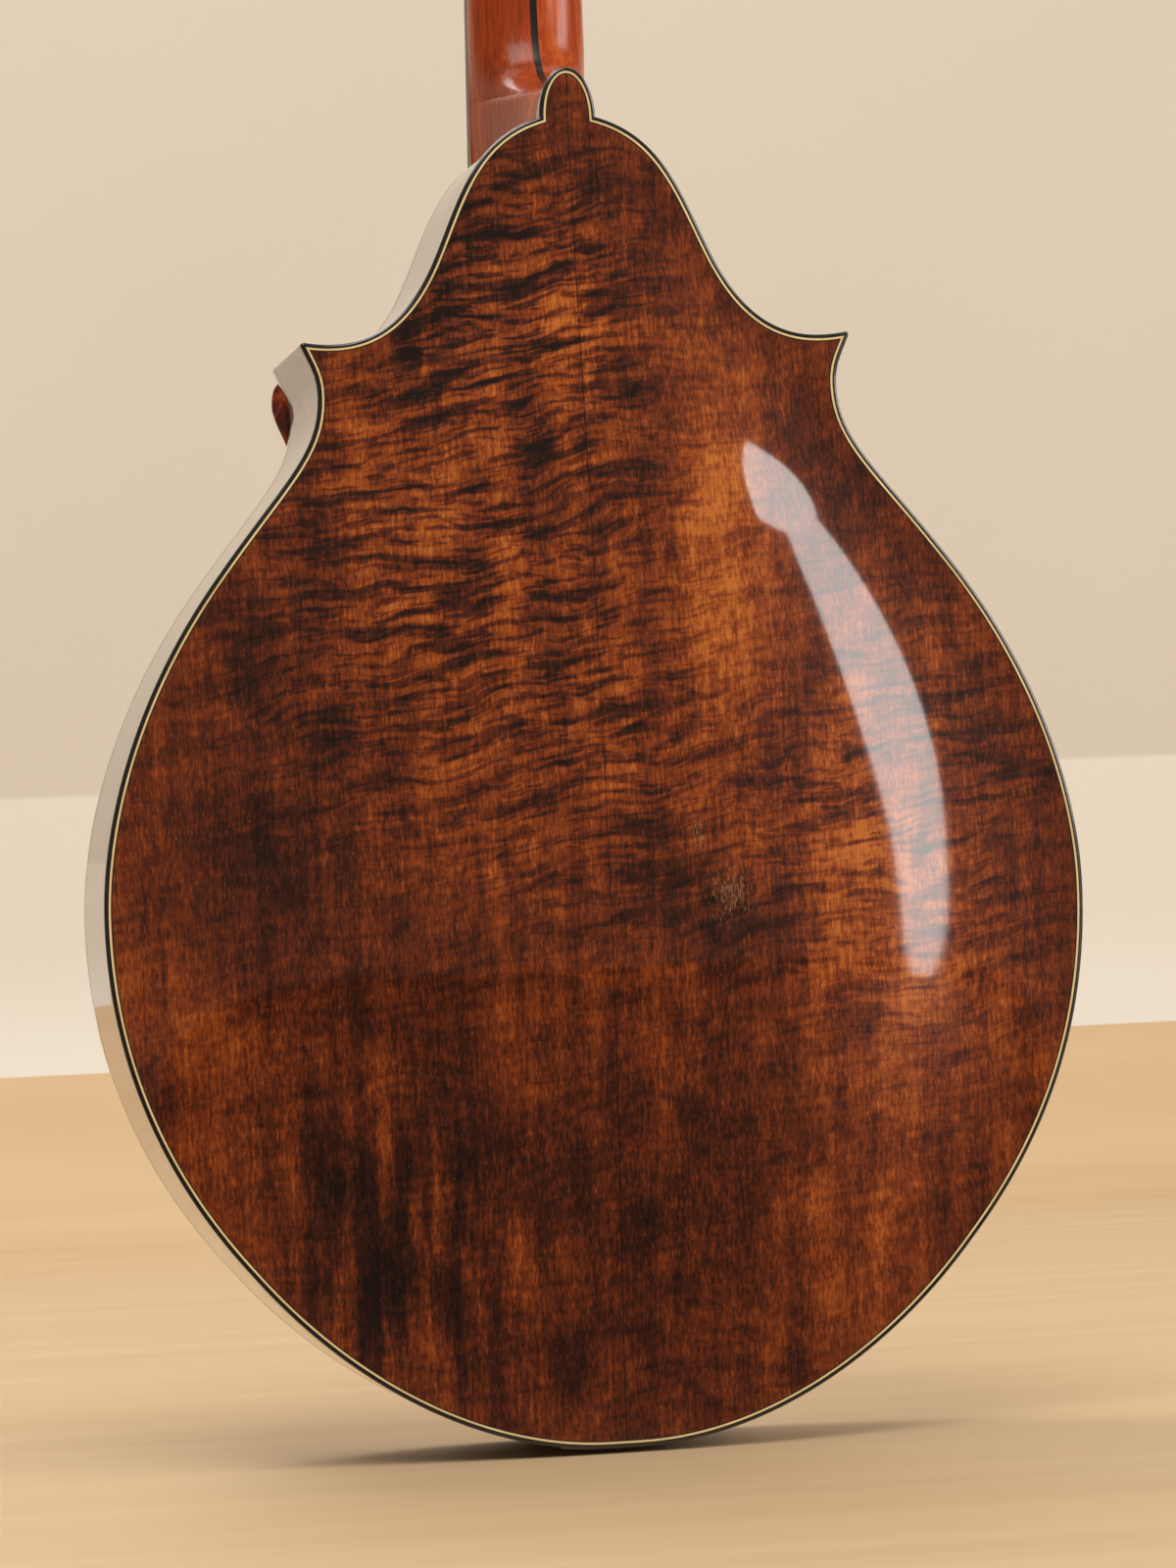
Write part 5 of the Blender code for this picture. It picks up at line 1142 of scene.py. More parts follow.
BOARD_ARRIS = 0.0004
DOT_PROFILE = ((0.0024, 0.0004), (0.0024, -0.00003), (0.0001, -0.00004))
FRET_STATIONS = ((-0.998, 0.25), (-0.985, 0.8), (-0.97, 1.0), (0.97, 1.0), (0.985, 0.8), (0.998, 0.25))
VENEER_BEVEL = 0.0005
NOTCH_ROOM = 0.00025
NUT_RISE = 0.0006
NUT_END_ROUND = 0.0008
NUT_FRONT_ROUND = 0.0003
POST_BORE = POST_RADIUS + RUN_CLEARANCE
BUSHING_PROFILE = ((POST_BORE, 0.0), (0.0052, 0.0), (0.0050, -0.0004), (0.0042, -0.0012),
                   (POST_BORE + 0.0002, -0.0015), (POST_BORE, -0.0014))


def make_fingerboard():
    """A tapered board with broken arrises, twenty crowned frets and six pearl dots."""
    end = fret_place(FRET_COUNT) - BOARD_OVERRUN
    top = -GAP - BOARD_THICKNESS
    rings = []
    for along in np.linspace(end, NUT_ALONG - GAP, 16):
        half = board_half(along)
        corners = [(half, -GAP), (half, top + BOARD_ARRIS), (half - BOARD_ARRIS, top)]
        rings.append([(x, y, along) for x, y in corners] + [(-x, y, along) for x, y in corners[::-1]])
    board = in_frame(smooth(loft("fingerboard_blank", rings), 30), NECK_FRAME)
    dress(board, "ebony", "body", "ebony", "fingerboard")
    frets = [make_fret(fret_place(number), top) for number in range(1, FRET_COUNT + 1)]
    dress(in_frame(joined(frets, "frets"), NECK_FRAME), "nickel", "body", "nickel")
    dots = []
    for number, x in DOTTED_FRETS:
        middle = (fret_place(number) + fret_place(number - 1)) / 2
        place = NECK_FRAME @ Matrix.Translation((x, top, middle))
        dots.append(turned("dot", DOT_PROFILE, place, 28))
    dress(joined(dots, "position_dots"), "pearl", "body", "bone")


def make_fret(along, top):
    """A crowned fret with rounded ends, in the neck's frame."""
    half = board_half(along)
    turns = np.linspace(0, np.pi, 9)
    rings = []
    for share, tall in FRET_STATIONS:
        crown = [(share * half, top - FRET_HEIGHT * tall * math.sin(a), along + FRET_FOOT / 2 * math.cos(a))
                 for a in turns]
        rings.append(crown + [(share * half, top + FRET_HEIGHT / 2, along)])
    return smooth(loft("fret", rings), 50)


def notch_depth(x, places, radii):
    """1 in the middle of a string's notch, 0 away from it."""
    return max(math.exp(-(abs(x - place) / (radius + NOTCH_ROOM)) ** 4)
               for place, radius in zip(places, radii))


def string_radii():
    return [COURSE_RADII[index // 2] for index in range(2 * COURSES)]


def make_nut():
    """A bone nut with a notch for each string."""
    half = board_half(NUT_ALONG)
    places = spread(NUT_COURSE_SPACING, NUT_PAIR_SPACING)
    low, high = NUT_ALONG, NUT_ALONG + NUT_LENGTH - GAP
    rings = []
    for x in np.linspace(-half, half, 160):
        end_round = min(1.0, (half - abs(x)) / NUT_END_ROUND)
        up = NUT_RISE * (1 - notch_depth(x, places, string_radii())) * end_round
        rings.append([(x, -GAP, low), (x, -NUT_HEIGHT - up + NUT_FRONT_ROUND, low),
                      (x, -NUT_HEIGHT - up, low + NUT_LENGTH * 0.12),
                      (x, -NUT_HEIGHT - up, low + NUT_LENGTH * 0.4),
                      (x, -NUT_HEIGHT * 0.86 - up, low + NUT_LENGTH * 0.75), (x, -NUT_HEIGHT * 0.72, high),
                      (x, -GAP, high)])
    dress(in_frame(smooth(loft("nut_notched", rings), 30), NECK_FRAME), "bone", "body", "bone", "nut")


def make_headstock_face():
    """The ebony veneer with its bevelled edge, and a bushing round each post."""
    outline = head_outline()
    outline[:, 1] = np.maximum(outline[:, 1], GAP)
    veneer = bevelled(prism("veneer_bevelled", outline, VENEER_FACE, -GAP), VENEER_BEVEL)
    bore = ((POST_BORE, -HEAD_THICKNESS), (POST_BORE, HEAD_THICKNESS))
    bushings = []
    for _, side, up in posts():
        cut(veneer, turned("hole", bore, Matrix.Translation((side * POST_OFFSET, 0, up))))
        seat = HEAD_FRAME @ Matrix.Translation((side * POST_OFFSET, VENEER_FACE, up))
        bushings.append(turned("bushing", BUSHING_PROFILE, seat, 32, True))
    dress(in_frame(smooth(veneer, 30), HEAD_FRAME), "ebony", "body", "ebony", "headstock_veneer")
    dress(joined(bushings, "post_bushings"), "nickel", "body", "nickel")


# Tuners, in the headstock's frame

TOWARDS_BACK = (0.0, 1.0, 0.0)
GROOVE_PROFILE = ((POST_GROOVE_DEPTH, 0.0028), (0.0002, 0.0018), (0.0, 0.0), (0.0002, -0.0018),
                  (POST_GROOVE_DEPTH, -0.0028))
POST_END_PROFILE = ((1.0, 0.0012), (0.93, 0.0004), (0.75, 0.0), (0.1, 0.0))
POST_TURNS = 3
STRING_HOLE = 0.0009
SCREW_SINK = 0.0001
GEAR_SCREW_RADIUS = 0.0022
GEAR_SCREW_HEIGHT = 0.0009
COLLAR_PROFILE = ((1.7, -0.0018), (1.87, -0.0010), (1.7, -0.0002))
COLLAR_START = 0.0022
OVAL_POWER = 2.4
LUG_BEVEL = 0.0002
PLATE_BEVEL = 0.0003
PLATE_SCREW_END = 0.0030
PLATE_SCREW_SHARE = 0.36


def posts():
    """Each tuner's number, side and height above the nut."""
    return [(k + 1 + (0 if side > 0 else TUNERS_PER_SIDE), side, FIRST_POST + k * POST_SPACING)
            for side in (1, -1) for k in range(TUNERS_PER_SIDE)]


def head_edge(up):
    top = HEAD_LENGTH - HEAD_CREST
    return HEAD_LOW_HALF + (HEAD_TOP_HALF - HEAD_LOW_HALF) * (up - HEAD_FLARE) / (top - HEAD_FLARE)


def make_gear():
    """A worm wheel with skewed teeth, on its own axis along Y, with a tooth straight towards the worm."""
    skew = WORM_PITCH / (2 * math.pi * WORM_RADIUS)
    pitch = 2 * math.pi / GEAR_TEETH
    tip, root = GEAR_RADIUS + TOOTH_ADDENDUM, GEAR_RADIUS - TOOTH_DEDENDUM
    half_pitch = (WORM_PITCH / 2 - TOOTH_BACKLASH) / 2 / GEAR_RADIUS
    slope = math.tan(PRESSURE_ANGLE) / GEAR_RADIUS
    half_tip = half_pitch - slope * TOOTH_ADDENDUM
    half_root = half_pitch + slope * TOOTH_DEDENDUM
    corners = ((-half_root, root), (-half_pitch, GEAR_RADIUS), (-half_tip, tip), (half_tip, tip),
               (half_pitch, GEAR_RADIUS), (half_root, root))
    rings = []
    for share in np.linspace(-0.5, 0.5, 7):
        y = share * GEAR_THICKNESS
        turn = y * skew / GEAR_RADIUS
        places = [(k * pitch + offset + turn, radius)
                  for k in range(GEAR_TEETH) for offset, radius in corners]
        rings.append([(radius * math.cos(angle), y, radius * math.sin(angle)) for angle, radius in places])
    gear = smooth(loft("gear", rings), 25)
    turn = math.pi / 2 - pitch * round(GEAR_TEETH / 4)
    return in_frame(gear, Matrix.Rotation(turn, 4, "Y"))


def make_post(number, side, up):
    """A turned post with a waist and a string hole, its worm wheel and the wheel's screw."""
    place = HEAD_FRAME @ Matrix.Translation((side * POST_OFFSET, 0, up))
    groove, top = VENEER_FACE - POST_GROOVE, VENEER_FACE - POST_HEIGHT
    waist = POST_RADIUS - POST_GROOVE_DEPTH
    profile = [(POST_RADIUS, GEAR_MIDDLE)]
    profile += [(waist + wider, groove + along) for wider, along in GROOVE_PROFILE]
    profile += [(POST_RADIUS * share, top + fall) for share, fall in POST_END_PROFILE]
    post = turned("post", profile, Matrix.Identity(4), 32)
    across = Matrix.Translation((0, groove, 0)) @ Matrix.Rotation(math.pi / 2, 4, "X")
    cut(post, turned("string_hole", ((STRING_HOLE, -0.01), (STRING_HOLE, 0.01)), across, 16))
    gear = in_frame(make_gear(), Matrix.Translation((0, GEAR_MIDDLE, 0)))
    back = Matrix.Translation((0, GEAR_MIDDLE + GEAR_THICKNESS / 2 - SCREW_SINK, 0))
    gear_screw = screw_head(back, GEAR_SCREW_RADIUS, GEAR_SCREW_HEIGHT, number * 1.3)
    piece = in_frame(joined([smooth(post, 35), gear, gear_screw], f"post_{number}_turned"), place)
    dress(piece, "brass", f"post_{number}", "brass", f"string_post_{number}")


def make_winding(number, side, up):
    """The string's turns round the waist of its post."""
    place = HEAD_FRAME @ Matrix.Translation((side * POST_OFFSET, 0, up))
    groove = VENEER_FACE - POST_GROOVE
    index = number - 1 if side > 0 else 2 * COURSES + TUNERS_PER_SIDE - number
    radius = string_radii()[index]
    turns = np.linspace(0, POST_TURNS * 2 * math.pi, 73)
    reach = POST_RADIUS - POST_GROOVE_DEPTH + radius
    start = math.pi if side > 0 else 0.0
    coil = [(reach * math.cos(start + side * a), groove + (a / (2 * math.pi) - 1.0) * radius * 2.1,
             reach * math.sin(start + side * a)) for a in turns]
    winding = in_frame(tube(f"winding_{number}", coil, radius, TOWARDS_BACK, 8), place)
    dress(winding, wire_kind(index), f"post_{number}", wire_kind(index))


def make_worm(number, side, up):
    """Worm, shaft and collar along X, with the oval button on its end."""
    place = HEAD_FRAME @ Matrix.Translation((side * POST_OFFSET, GEAR_MIDDLE, up - WORM_DISTANCE))
    outwards = Matrix.Rotation(-side * math.pi / 2, 4, "Z")
    edge = head_edge(up) + BUTTON_GAP - POST_OFFSET
    inner = -(WORM_HALF_LENGTH + LUG_THICKNESS + SHAFT_TAIL)
    profile = [(SHAFT_RADIUS * 0.7, inner), (SHAFT_RADIUS, inner + 0.0003),
               (SHAFT_RADIUS, edge - COLLAR_START)]
    profile += [(SHAFT_RADIUS * wide, edge + along) for wide, along in COLLAR_PROFILE]
    profile += [(SHAFT_RADIUS, edge), (SHAFT_RADIUS, edge + BUTTON_BORE)]
    shaft = turned("shaft", profile, outwards, 20)
    steps = 20
    half_pitch = (WORM_PITCH / 2 - TOOTH_BACKLASH) / 2
    slope = math.tan(PRESSURE_ANGLE)
    tip, root = WORM_RADIUS + TOOTH_ADDENDUM, SHAFT_RADIUS * WORM_ROOT
    shape = ((half_pitch + slope * (WORM_RADIUS - root), root), (half_pitch - slope * TOOTH_ADDENDUM, tip),
             (-half_pitch + slope * TOOTH_ADDENDUM, tip), (-half_pitch - slope * (WORM_RADIUS - root), root))
    rings = []
    for k in range(WORM_TURNS * steps + 1):
        angle = 2 * math.pi * k / steps
        middle = WORM_PITCH * (k / steps - WORM_TURNS / 2)
        rings.append([(middle + x, radius * math.sin(angle), radius * math.cos(angle))
                      for x, radius in shape])
    thread = smooth(loft("thread", rings), 30)
    piece = in_frame(joined([shaft, thread], f"worm_{number}_cut"), place)
    dress(piece, "nickel", f"worm_{number}", "nickel", f"worm_shaft_{number}")
    make_button(number, side, edge, place)


def make_button(number, side, edge, place):
    """The oval button, with its two broad faces for the fingers."""
    rings = []
    section = np.linspace(0, 2 * np.pi, 36, endpoint=False)
    for share in (1 - np.cos(np.linspace(0, np.pi, 22))) / 2:
        bulge = max(0.03, (1 - abs(2 * share - 1) ** OVAL_POWER)) ** (1 / OVAL_POWER)
        thick = TURN_BUTTON_THICKNESS / 2 * bulge ** 0.9
        wide = TURN_BUTTON_WIDTH / 2 * bulge
        x = side * (edge + share * TURN_BUTTON_LENGTH)
        rings.append([(x, thick * math.copysign(abs(math.cos(a)) ** 0.85, math.cos(a)), wide * math.sin(a))
                      for a in section])
    button = in_frame(smooth(loft(f"button_{number}_oval", rings), 60), place)
    dress(button, "button", f"worm_{number}", "ivory_button", f"turn_button_{number}")


def make_lug(x_low, x_high, z):
    """A round-ended ear of the plate that carries the worm's shaft."""
    turns = np.linspace(0, np.pi, 14)
    reach = SHAFT_RADIUS + LUG_BACK
    root = PLATE_FACE - PLATE_SHEET / 2 - GEAR_MIDDLE
    ear = [(LUG_WIDTH / 2 * math.cos(a), reach * math.sin(a)) for a in turns]
    outline = [(LUG_WIDTH / 2, root), *ear, (-LUG_WIDTH / 2, root)]
    rings = [[(x, GEAR_MIDDLE + y, z + across) for across, y in outline] for x in (x_low, x_high)]
    lug = bevelled(loft("lug", rings), LUG_BEVEL)
    bore = SHAFT_RADIUS + RUN_CLEARANCE * 0.7
    along = Matrix.Translation((0, GEAR_MIDDLE, z)) @ Matrix.Rotation(-math.pi / 2, 4, "Z")
    return cut(lug, turned("bore", [(bore, x_low - 0.002), (bore, x_high + 0.002)], along, 20))


def make_tuner_plate(name, side):
    """A nickel plate with rounded ends, two ears for every worm, and screws between the posts."""
    middle = side * POST_OFFSET
    low = FIRST_POST - PLATE_END
    high = FIRST_POST + (TUNERS_PER_SIDE - 1) * POST_SPACING + PLATE_END - WORM_DISTANCE / 2
    turns = np.linspace(0, np.pi, 19)
    arc = [(PLATE_HALF_WIDTH * math.copysign(abs(math.cos(a)) ** 0.6, math.cos(a)),
            PLATE_HALF_WIDTH * 0.6 * math.sin(a) ** 0.6) for a in turns]
    drop = PLATE_HALF_WIDTH * 0.6
    outline = [(middle + x, high - drop + z) for x, z in arc] + [(middle - x, low + drop - z) for x, z in arc]
    sheet = bevelled(prism(name + "_sheet", outline, HEAD_THICKNESS + GAP, PLATE_FACE), PLATE_BEVEL)
    ups = [up for _, post_side, up in posts() if post_side == side]
    bore = ((POST_BORE, 0.0), (POST_BORE, 2 * PLATE_FACE))
    for up in ups:
        cut(sheet, turned("hole", bore, Matrix.Translation((middle, 0, up))))
    pieces = [smooth(sheet, 30)]
    for up in ups:
        for way in (-1, 1):
            near = middle + way * WORM_HALF_LENGTH
            far = near + way * LUG_THICKNESS
            pieces.append(smooth(make_lug(min(near, far), max(near, far), up - WORM_DISTANCE), 35))
    screw_heights = [low + PLATE_SCREW_END, high - PLATE_SCREW_END]
    screw_heights += [up + POST_SPACING * PLATE_SCREW_SHARE for up in ups[:-1]]
    for index, z in enumerate(screw_heights):
        seat = Matrix.Translation((middle, PLATE_FACE - SCREW_SINK, z))
        pieces.append(screw_head(seat, turn=0.5 + index * 0.9))
    plate = in_frame(joined(pieces, name + "_stamped"), HEAD_FRAME)
    dress(plate, "nickel", "body", "nickel", name)


def make_tuners():
    for tuner in posts():
        make_post(*tuner)
        make_winding(*tuner)
        make_worm(*tuner)
    make_tuner_plate("tuner_plate_treble", 1)
    make_tuner_plate("tuner_plate_bass", -1)


# Strings, bridge and tailpiece

LOOP_THROAT = 0.0030
TWIST_LENGTH = 0.0070
LOOP_WIRE = 0.6
TWIST_WIRE = 1.5
BRIDGE_TOP_EASE = 0.0004
BRIDGE_BEVEL = 0.0003
SADDLE_RISE = 0.0005
SADDLE_END_ROUND = 0.001
SADDLE_CROWN = ((-1.0, 0.0012), (-0.4, 0.0003), (0.0, 0.0), (0.4, 0.0003), (1.0, 0.0012))
TAIL_BEVEL = 0.0002
PEG_SINK = 0.0004
PEG_PROFILE = ((0.85, 0.55), (1.25, 0.72), (1.2, 0.9), (0.6, 1.0))


def wire_kind(index):
    """The finish of a string, counted from the treble side."""
    return "plain_wire" if index < PLAIN_STRINGS else "wound_wire"


def spread(course_spacing, pair_spacing):
    """x of the eight strings, treble to bass."""
    centres = [((COURSES - 1) / 2 - course) * course_spacing for course in range(COURSES)]
    return [centre + way * pair_spacing / 2 for centre in centres for way in (1, -1)]


def string_at(along, x, radius=0.0):
    """World point of a string's middle at a place along the neck."""
    at_joint = BOARD_THICKNESS + GAP + ACTION_AT_JOINT
    at_nut = NUT_HEIGHT + GAP
    height = at_joint + (at_nut - at_joint) * along / NUT_ALONG
    return NECK_FRAME @ Vector((x, -height - radius, along))


def hanger_end():
    """Upper end of the tailpiece's sheet, on its outer face."""
    start_y = FRONT_Y - TAIL_BEND_RISE - TAIL_SHEET
    return Vector((0, start_y - TAIL_LENGTH * math.tan(TAIL_SLOPE), BODY_BOTTOM + TAIL_LENGTH))


def peg_seat():
    """Foot of the pegs on the sheet."""
    end = hanger_end()
    return Vector((0, end.y + PEG_INSET * math.tan(TAIL_SLOPE), end.z - PEG_INSET))


def string_end_places():
    """For each string: anchor above its peg, saddle, nut and post."""
    nut_x = spread(NUT_COURSE_SPACING, NUT_PAIR_SPACING)
    bridge_x = spread(BRIDGE_COURSE_SPACING, BRIDGE_PAIR_SPACING)
    tail_x = spread(BRIDGE_COURSE_SPACING * TAIL_SPREAD, BRIDGE_PAIR_SPACING)
    order = [entry for entry in posts() if entry[1] > 0] + [entry for entry in posts() if entry[1] < 0][::-1]
    seat = peg_seat()
    result = []
    for index, (_, side, up) in enumerate(order):
        radius = string_radii()[index]
        anchor = Vector((tail_x[index], seat.y - radius - 2 * GAP, seat.z + PEG_RADIUS + GAP))
        inner = POST_OFFSET - POST_RADIUS - radius - GAP
        post = HEAD_FRAME @ Vector((side * inner, VENEER_FACE - POST_GROOVE, up))
        result.append((anchor, string_at(BRIDGE_ALONG, bridge_x[index], radius),
                       string_at(NUT_ALONG + NUT_LENGTH * 0.2, nut_x[index], radius), post))
    return result


def make_strings():
    """Each string with its loop over the peg and the twist that closes the loop."""
    for index, (anchor, saddle, nut, post) in enumerate(string_end_places()):
        radius = string_radii()[index]
        kind = wire_kind(index)
        wire = tube(f"string_{index + 1}_wire", [anchor, saddle, nut, post], radius, TOWARDS_BACK, 12)
        dress(wire, kind, "body", kind, f"string_{index + 1}")
        reach = PEG_RADIUS + radius * LOOP_WIRE + GAP
        turns = np.linspace(math.radians(20), math.radians(340), 22)
        upwards = (saddle - anchor).normalized()
        throat = anchor + upwards * LOOP_THROAT
        loop = [throat]
        loop += [Vector((anchor.x + reach * math.sin(a), anchor.y, peg_seat().z + reach * math.cos(a)))
                 for a in turns]
        loop.append(throat)
        end = throat + upwards * TWIST_LENGTH
        twist = [throat, throat.lerp(end, 0.1), throat.lerp(end, 0.9), end]
        pieces = [tube("loop", loop, radius * LOOP_WIRE, TOWARDS_BACK, 8),
                  tube("twist", twist, radius * TWIST_WIRE, TOWARDS_BACK, 10)]
        dress(joined(pieces, f"string_{index + 1}_loop"), "plain_wire", "body", "plain_wire")


def make_bridge():
    """Floating bridge with two openings between its feet."""
    place = string_at(BRIDGE_ALONG, 0.0)
    z = place.z
    crest = place.y + GAP + SADDLE_HEIGHT
    flat_share = SADDLE_HALF / BRIDGE_HALF
    foot_half = BRIDGE_FOOT_DEPTH / 2
    rings = []
    for share in np.linspace(-1, 1, 61):
        x = share * BRIDGE_HALF
        foot = min(top_face(x, z + way * foot_half) for way in (-1, 0, 1)) - GAP - SEAT_MARGIN
        fall = max(0.0, abs(share) - flat_share) / (1 - flat_share)
        top = foot - (foot - crest) * (1 - BRIDGE_END_FALL * fall ** 0.8)
        top_half = BRIDGE_TOP_DEPTH / 2 * (1 - 0.3 * fall)
        tall = foot - top
        flank = [(foot, foot_half), (foot - 0.12 * tall, foot_half), (foot - 0.30 * tall, foot_half * 0.92),
                 (foot - 0.62 * tall, (foot_half + top_half) * 0.47), (top + 0.06 * tall, top_half),
                 (top, top_half - BRIDGE_TOP_EASE)]
        rings.append([(x, y, z - half) for y, half in flank] + [(x, y, z + half) for y, half in flank[::-1]])
    bridge = loft("bridge_carved", rings)
    for side in (1, -1):
        x = side * BRIDGE_ARCH_PLACE
        along = Matrix.Translation((x, top_face(x, z), z)) @ Matrix.Rotation(math.pi / 2, 4, "X")
        stretch = Matrix.Diagonal((1.0, 1.0, BRIDGE_ARCH_REACH / BRIDGE_ARCH_HALF, 1.0))
        ends = [(BRIDGE_ARCH_HALF, -BRIDGE_FOOT_DEPTH), (BRIDGE_ARCH_HALF, BRIDGE_FOOT_DEPTH)]
        cut(bridge, turned("opening", ends, along @ stretch, 40))
    dress(smooth(bevelled(bridge, BRIDGE_BEVEL), 30), "ebony", "body", "ebony", "bridge")
    make_saddle(crest, z)


def make_saddle(crest, z):
    """The bone saddle in the bridge's top, with a notch for each string."""
    places = spread(BRIDGE_COURSE_SPACING, BRIDGE_PAIR_SPACING)
    crown = crest - SADDLE_HEIGHT
    half, depth = SADDLE_HALF - GAP, SADDLE_DEPTH / 2
    rings = []
    for x in np.linspace(-half, half, 200):
        end_round = min(1.0, (half - abs(x)) / SADDLE_END_ROUND)
        up = SADDLE_RISE * (1 - notch_depth(x, places, string_radii())) * end_round
        over = [(x, crown + fall - up, z + depth * share) for share, fall in SADDLE_CROWN]
        rings.append([(x, crest, z - depth), *over, (x, crest, z + depth)])
    dress(smooth(loft("saddle_notched", rings), 30), "bone", "body", "bone", "bridge_saddle")


def tail_height(x):
    """Height of the body's lowest edge over x, flat in the middle."""
    lower = side_runs(0.0)[2]
    order = np.argsort(lower[:, 0])
    return float(np.interp(max(abs(x), TAIL_FLAT_HALF), lower[order, 0], lower[order, 1]))


def make_tailpiece():
    """One bent sheet: end flange, bend and string hanger, with its pegs."""
    end = hanger_end()
    corner_y = FRONT_Y - TAIL_BEND_RISE
    turns = np.linspace(0, math.pi / 2, 6)
    bend = [(corner_y + TAIL_BEND * (1 - math.sin(a)), TAIL_BEND * (1 - math.cos(a)) - GAP) for a in turns]
    inner = [(BACK_Y - FLANGE_END, -GAP), *bend, (end.y + TAIL_SHEET, end.z - BODY_BOTTOM)]
    reach = TAIL_BEND + TAIL_SHEET
    outside = [(corner_y + TAIL_BEND - reach * math.sin(a), TAIL_BEND - GAP - reach * math.cos(a))
               for a in turns]
    outer = [(BACK_Y - FLANGE_END, -GAP - TAIL_SHEET), *outside, (end.y, end.z - BODY_BOTTOM)]
    profile = inner + outer[::-1]
    rings = [[(x, y, z + tail_height(x) + BODY_BOTTOM) for y, z in profile]
             for x in np.linspace(-TAIL_HALF, TAIL_HALF, 41)]
    sheet = smooth(bevelled(loft("tailpiece_sheet", rings), TAIL_BEVEL), 30)
    seat = peg_seat()
    profile = [(PEG_RADIUS * 0.9, PEG_SINK)]
    profile += [(PEG_RADIUS * wide, -PEG_HEIGHT * tall) for wide, tall in PEG_PROFILE]
    pegs = [turned("peg", profile, Matrix.Translation((anchor.x, seat.y, seat.z)), 18)
            for anchor, *_ in string_end_places()]
    dress(joined([sheet, *pegs], "tailpiece_bent"), "nickel", "body", "nickel", "tailpiece_base")


def make_cover():
    """The domed cover over the string anchors, open at its upper end."""
    seat = peg_seat()
    along = (string_at(BRIDGE_ALONG, 0.0) - seat).normalized()
    out = Vector((0, -along.z, along.y))
    back_off = (TAIL_LENGTH - COVER_START) * math.tan(TAIL_SLOPE)
    base = hanger_end() + Vector((0, back_off - GAP, COVER_START - TAIL_LENGTH))
    half = TAIL_HALF + COVER_ROOM + COVER_SHEET
    known = np.array(COVER_SHARES)
    rings = []
    for share in np.linspace(0, 1, 40) ** 1.6:
        height = np.interp(share, known[:, 0], known[:, 1])
        centre = base + along * (share * COVER_LENGTH)
        ring = []
        for angle in np.linspace(math.pi, 0, 61):
            x = half * math.copysign(abs(math.cos(angle)) ** 0.45, math.cos(angle))
            lift = (COVER_HEIGHT * height + COVER_SKIRT) * abs(math.sin(angle)) ** 0.7 - COVER_SKIRT
            ring.append(tuple(centre + Vector((x, 0, 0)) + out * lift))
        rings.append(ring)
    cover = bent_grid("cover_stamped", rings)
    outward = sum((face.center - base).dot(out) * face.normal.dot(out) for face in cover.data.polygons)
    modify(cover, "SOLIDIFY", thickness=COVER_SHEET, offset=-1.0 if outward > 0 else 1.0)
    edit(cover, (bpy.ops.mesh.normals_make_consistent, {"inside": False}))
    dress(smooth(cover, 40), "nickel", "cover", "nickel", "tailpiece_cover")


# Finger rest and rosette

REST_BEVEL = 0.0006
REST_FOOT_BEVEL = 0.0004
ROSETTE_PROUD = 0.00006
ROSETTE_DEPTH = 0.0008
ROSETTE_RINGS = (("rosette_outer", 0.0070, 0.0006, "black"), ("rosette_middle", 0.0056, 0.0014, "ivory"),
                 ("rosette_inner", 0.0050, 0.0006, "black"), ("soundhole_edge", 0.0004, 0.0012, "ivory"))


def rest_outline():
    """From the end of the fingerboard down the strings' side, round the tip and back up to the board."""
    board_end = JOINT_HEIGHT + fret_place(FRET_COUNT) - BOARD_OVERRUN
    start = [(board_half(board_end - JOINT_HEIGHT) + 2 * GAP, board_end)]
    round_points = [(REST_STRING_SIDE, board_end - REST_NECK_LENGTH),
                    (REST_STRING_SIDE, REST_BOTTOM + REST_CORNER)]
    round_points += [(x, REST_BOTTOM + up) for x, up in REST_LOWER_EDGE]
    round_points += [(REST_OUTER + x, REST_OUTER_HEIGHT + up) for x, up in REST_TIP]
    round_points.append((REST_SHOULDER[0], REST_TOP + REST_SHOULDER[1]))
    end = [(board_half(REST_TOP - JOINT_HEIGHT) + 2 * GAP, REST_TOP)]
    outline = np.vstack([start, smooth_path(round_points, 5), end])
    outline[:, 0] = np.minimum(outline[:, 0], REST_OUTER)
    return outline + (0.0, BODY_BOTTOM)


def make_finger_rest():
    """The tortoiseshell plate, with the post and foot that carry it on the soundboard."""
    far = FRONT_Y - REST_HEIGHT
    plate = bevelled(prism("finger_rest_plate", rest_outline(), far - REST_THICKNESS, far), REST_BEVEL, 3, 30)
    dress(smooth(plate, 30), "tortoiseshell", "body", "tortoiseshell", "finger_rest")
    x, z = REST_POST_X, BODY_BOTTOM + REST_POST_Z
    seat = min(top_face(x + sx * REST_POST_FOOT, z + sz * REST_POST_FOOT) for sx in (-1, 1) for sz in (-1, 1))
    seat -= GAP + SEAT_MARGIN
    foot = box_piece("foot", (x - REST_POST_FOOT, seat - REST_FOOT_THICKNESS, z - REST_POST_FOOT),
                     (x + REST_POST_FOOT, seat, z + REST_POST_FOOT), REST_FOOT_BEVEL)
    profile = [(REST_POST_HALF * 0.8, far + GAP), (REST_POST_HALF, far + 3 * GAP),
               (REST_POST_HALF * 0.7, (far + seat) / 2),
               (REST_POST_HALF, seat - REST_FOOT_THICKNESS - REST_FOOT_BEVEL),
               (REST_POST_HALF, seat - REST_FOOT_THICKNESS / 2)]
    post = turned("post", profile, Matrix.Translation((x, 0, z)), 28)
    stand = joined([smooth(foot, 30), post], "finger_rest_stand")
    dress(stand, "nickel", "body", "nickel", "finger_rest_bracket")


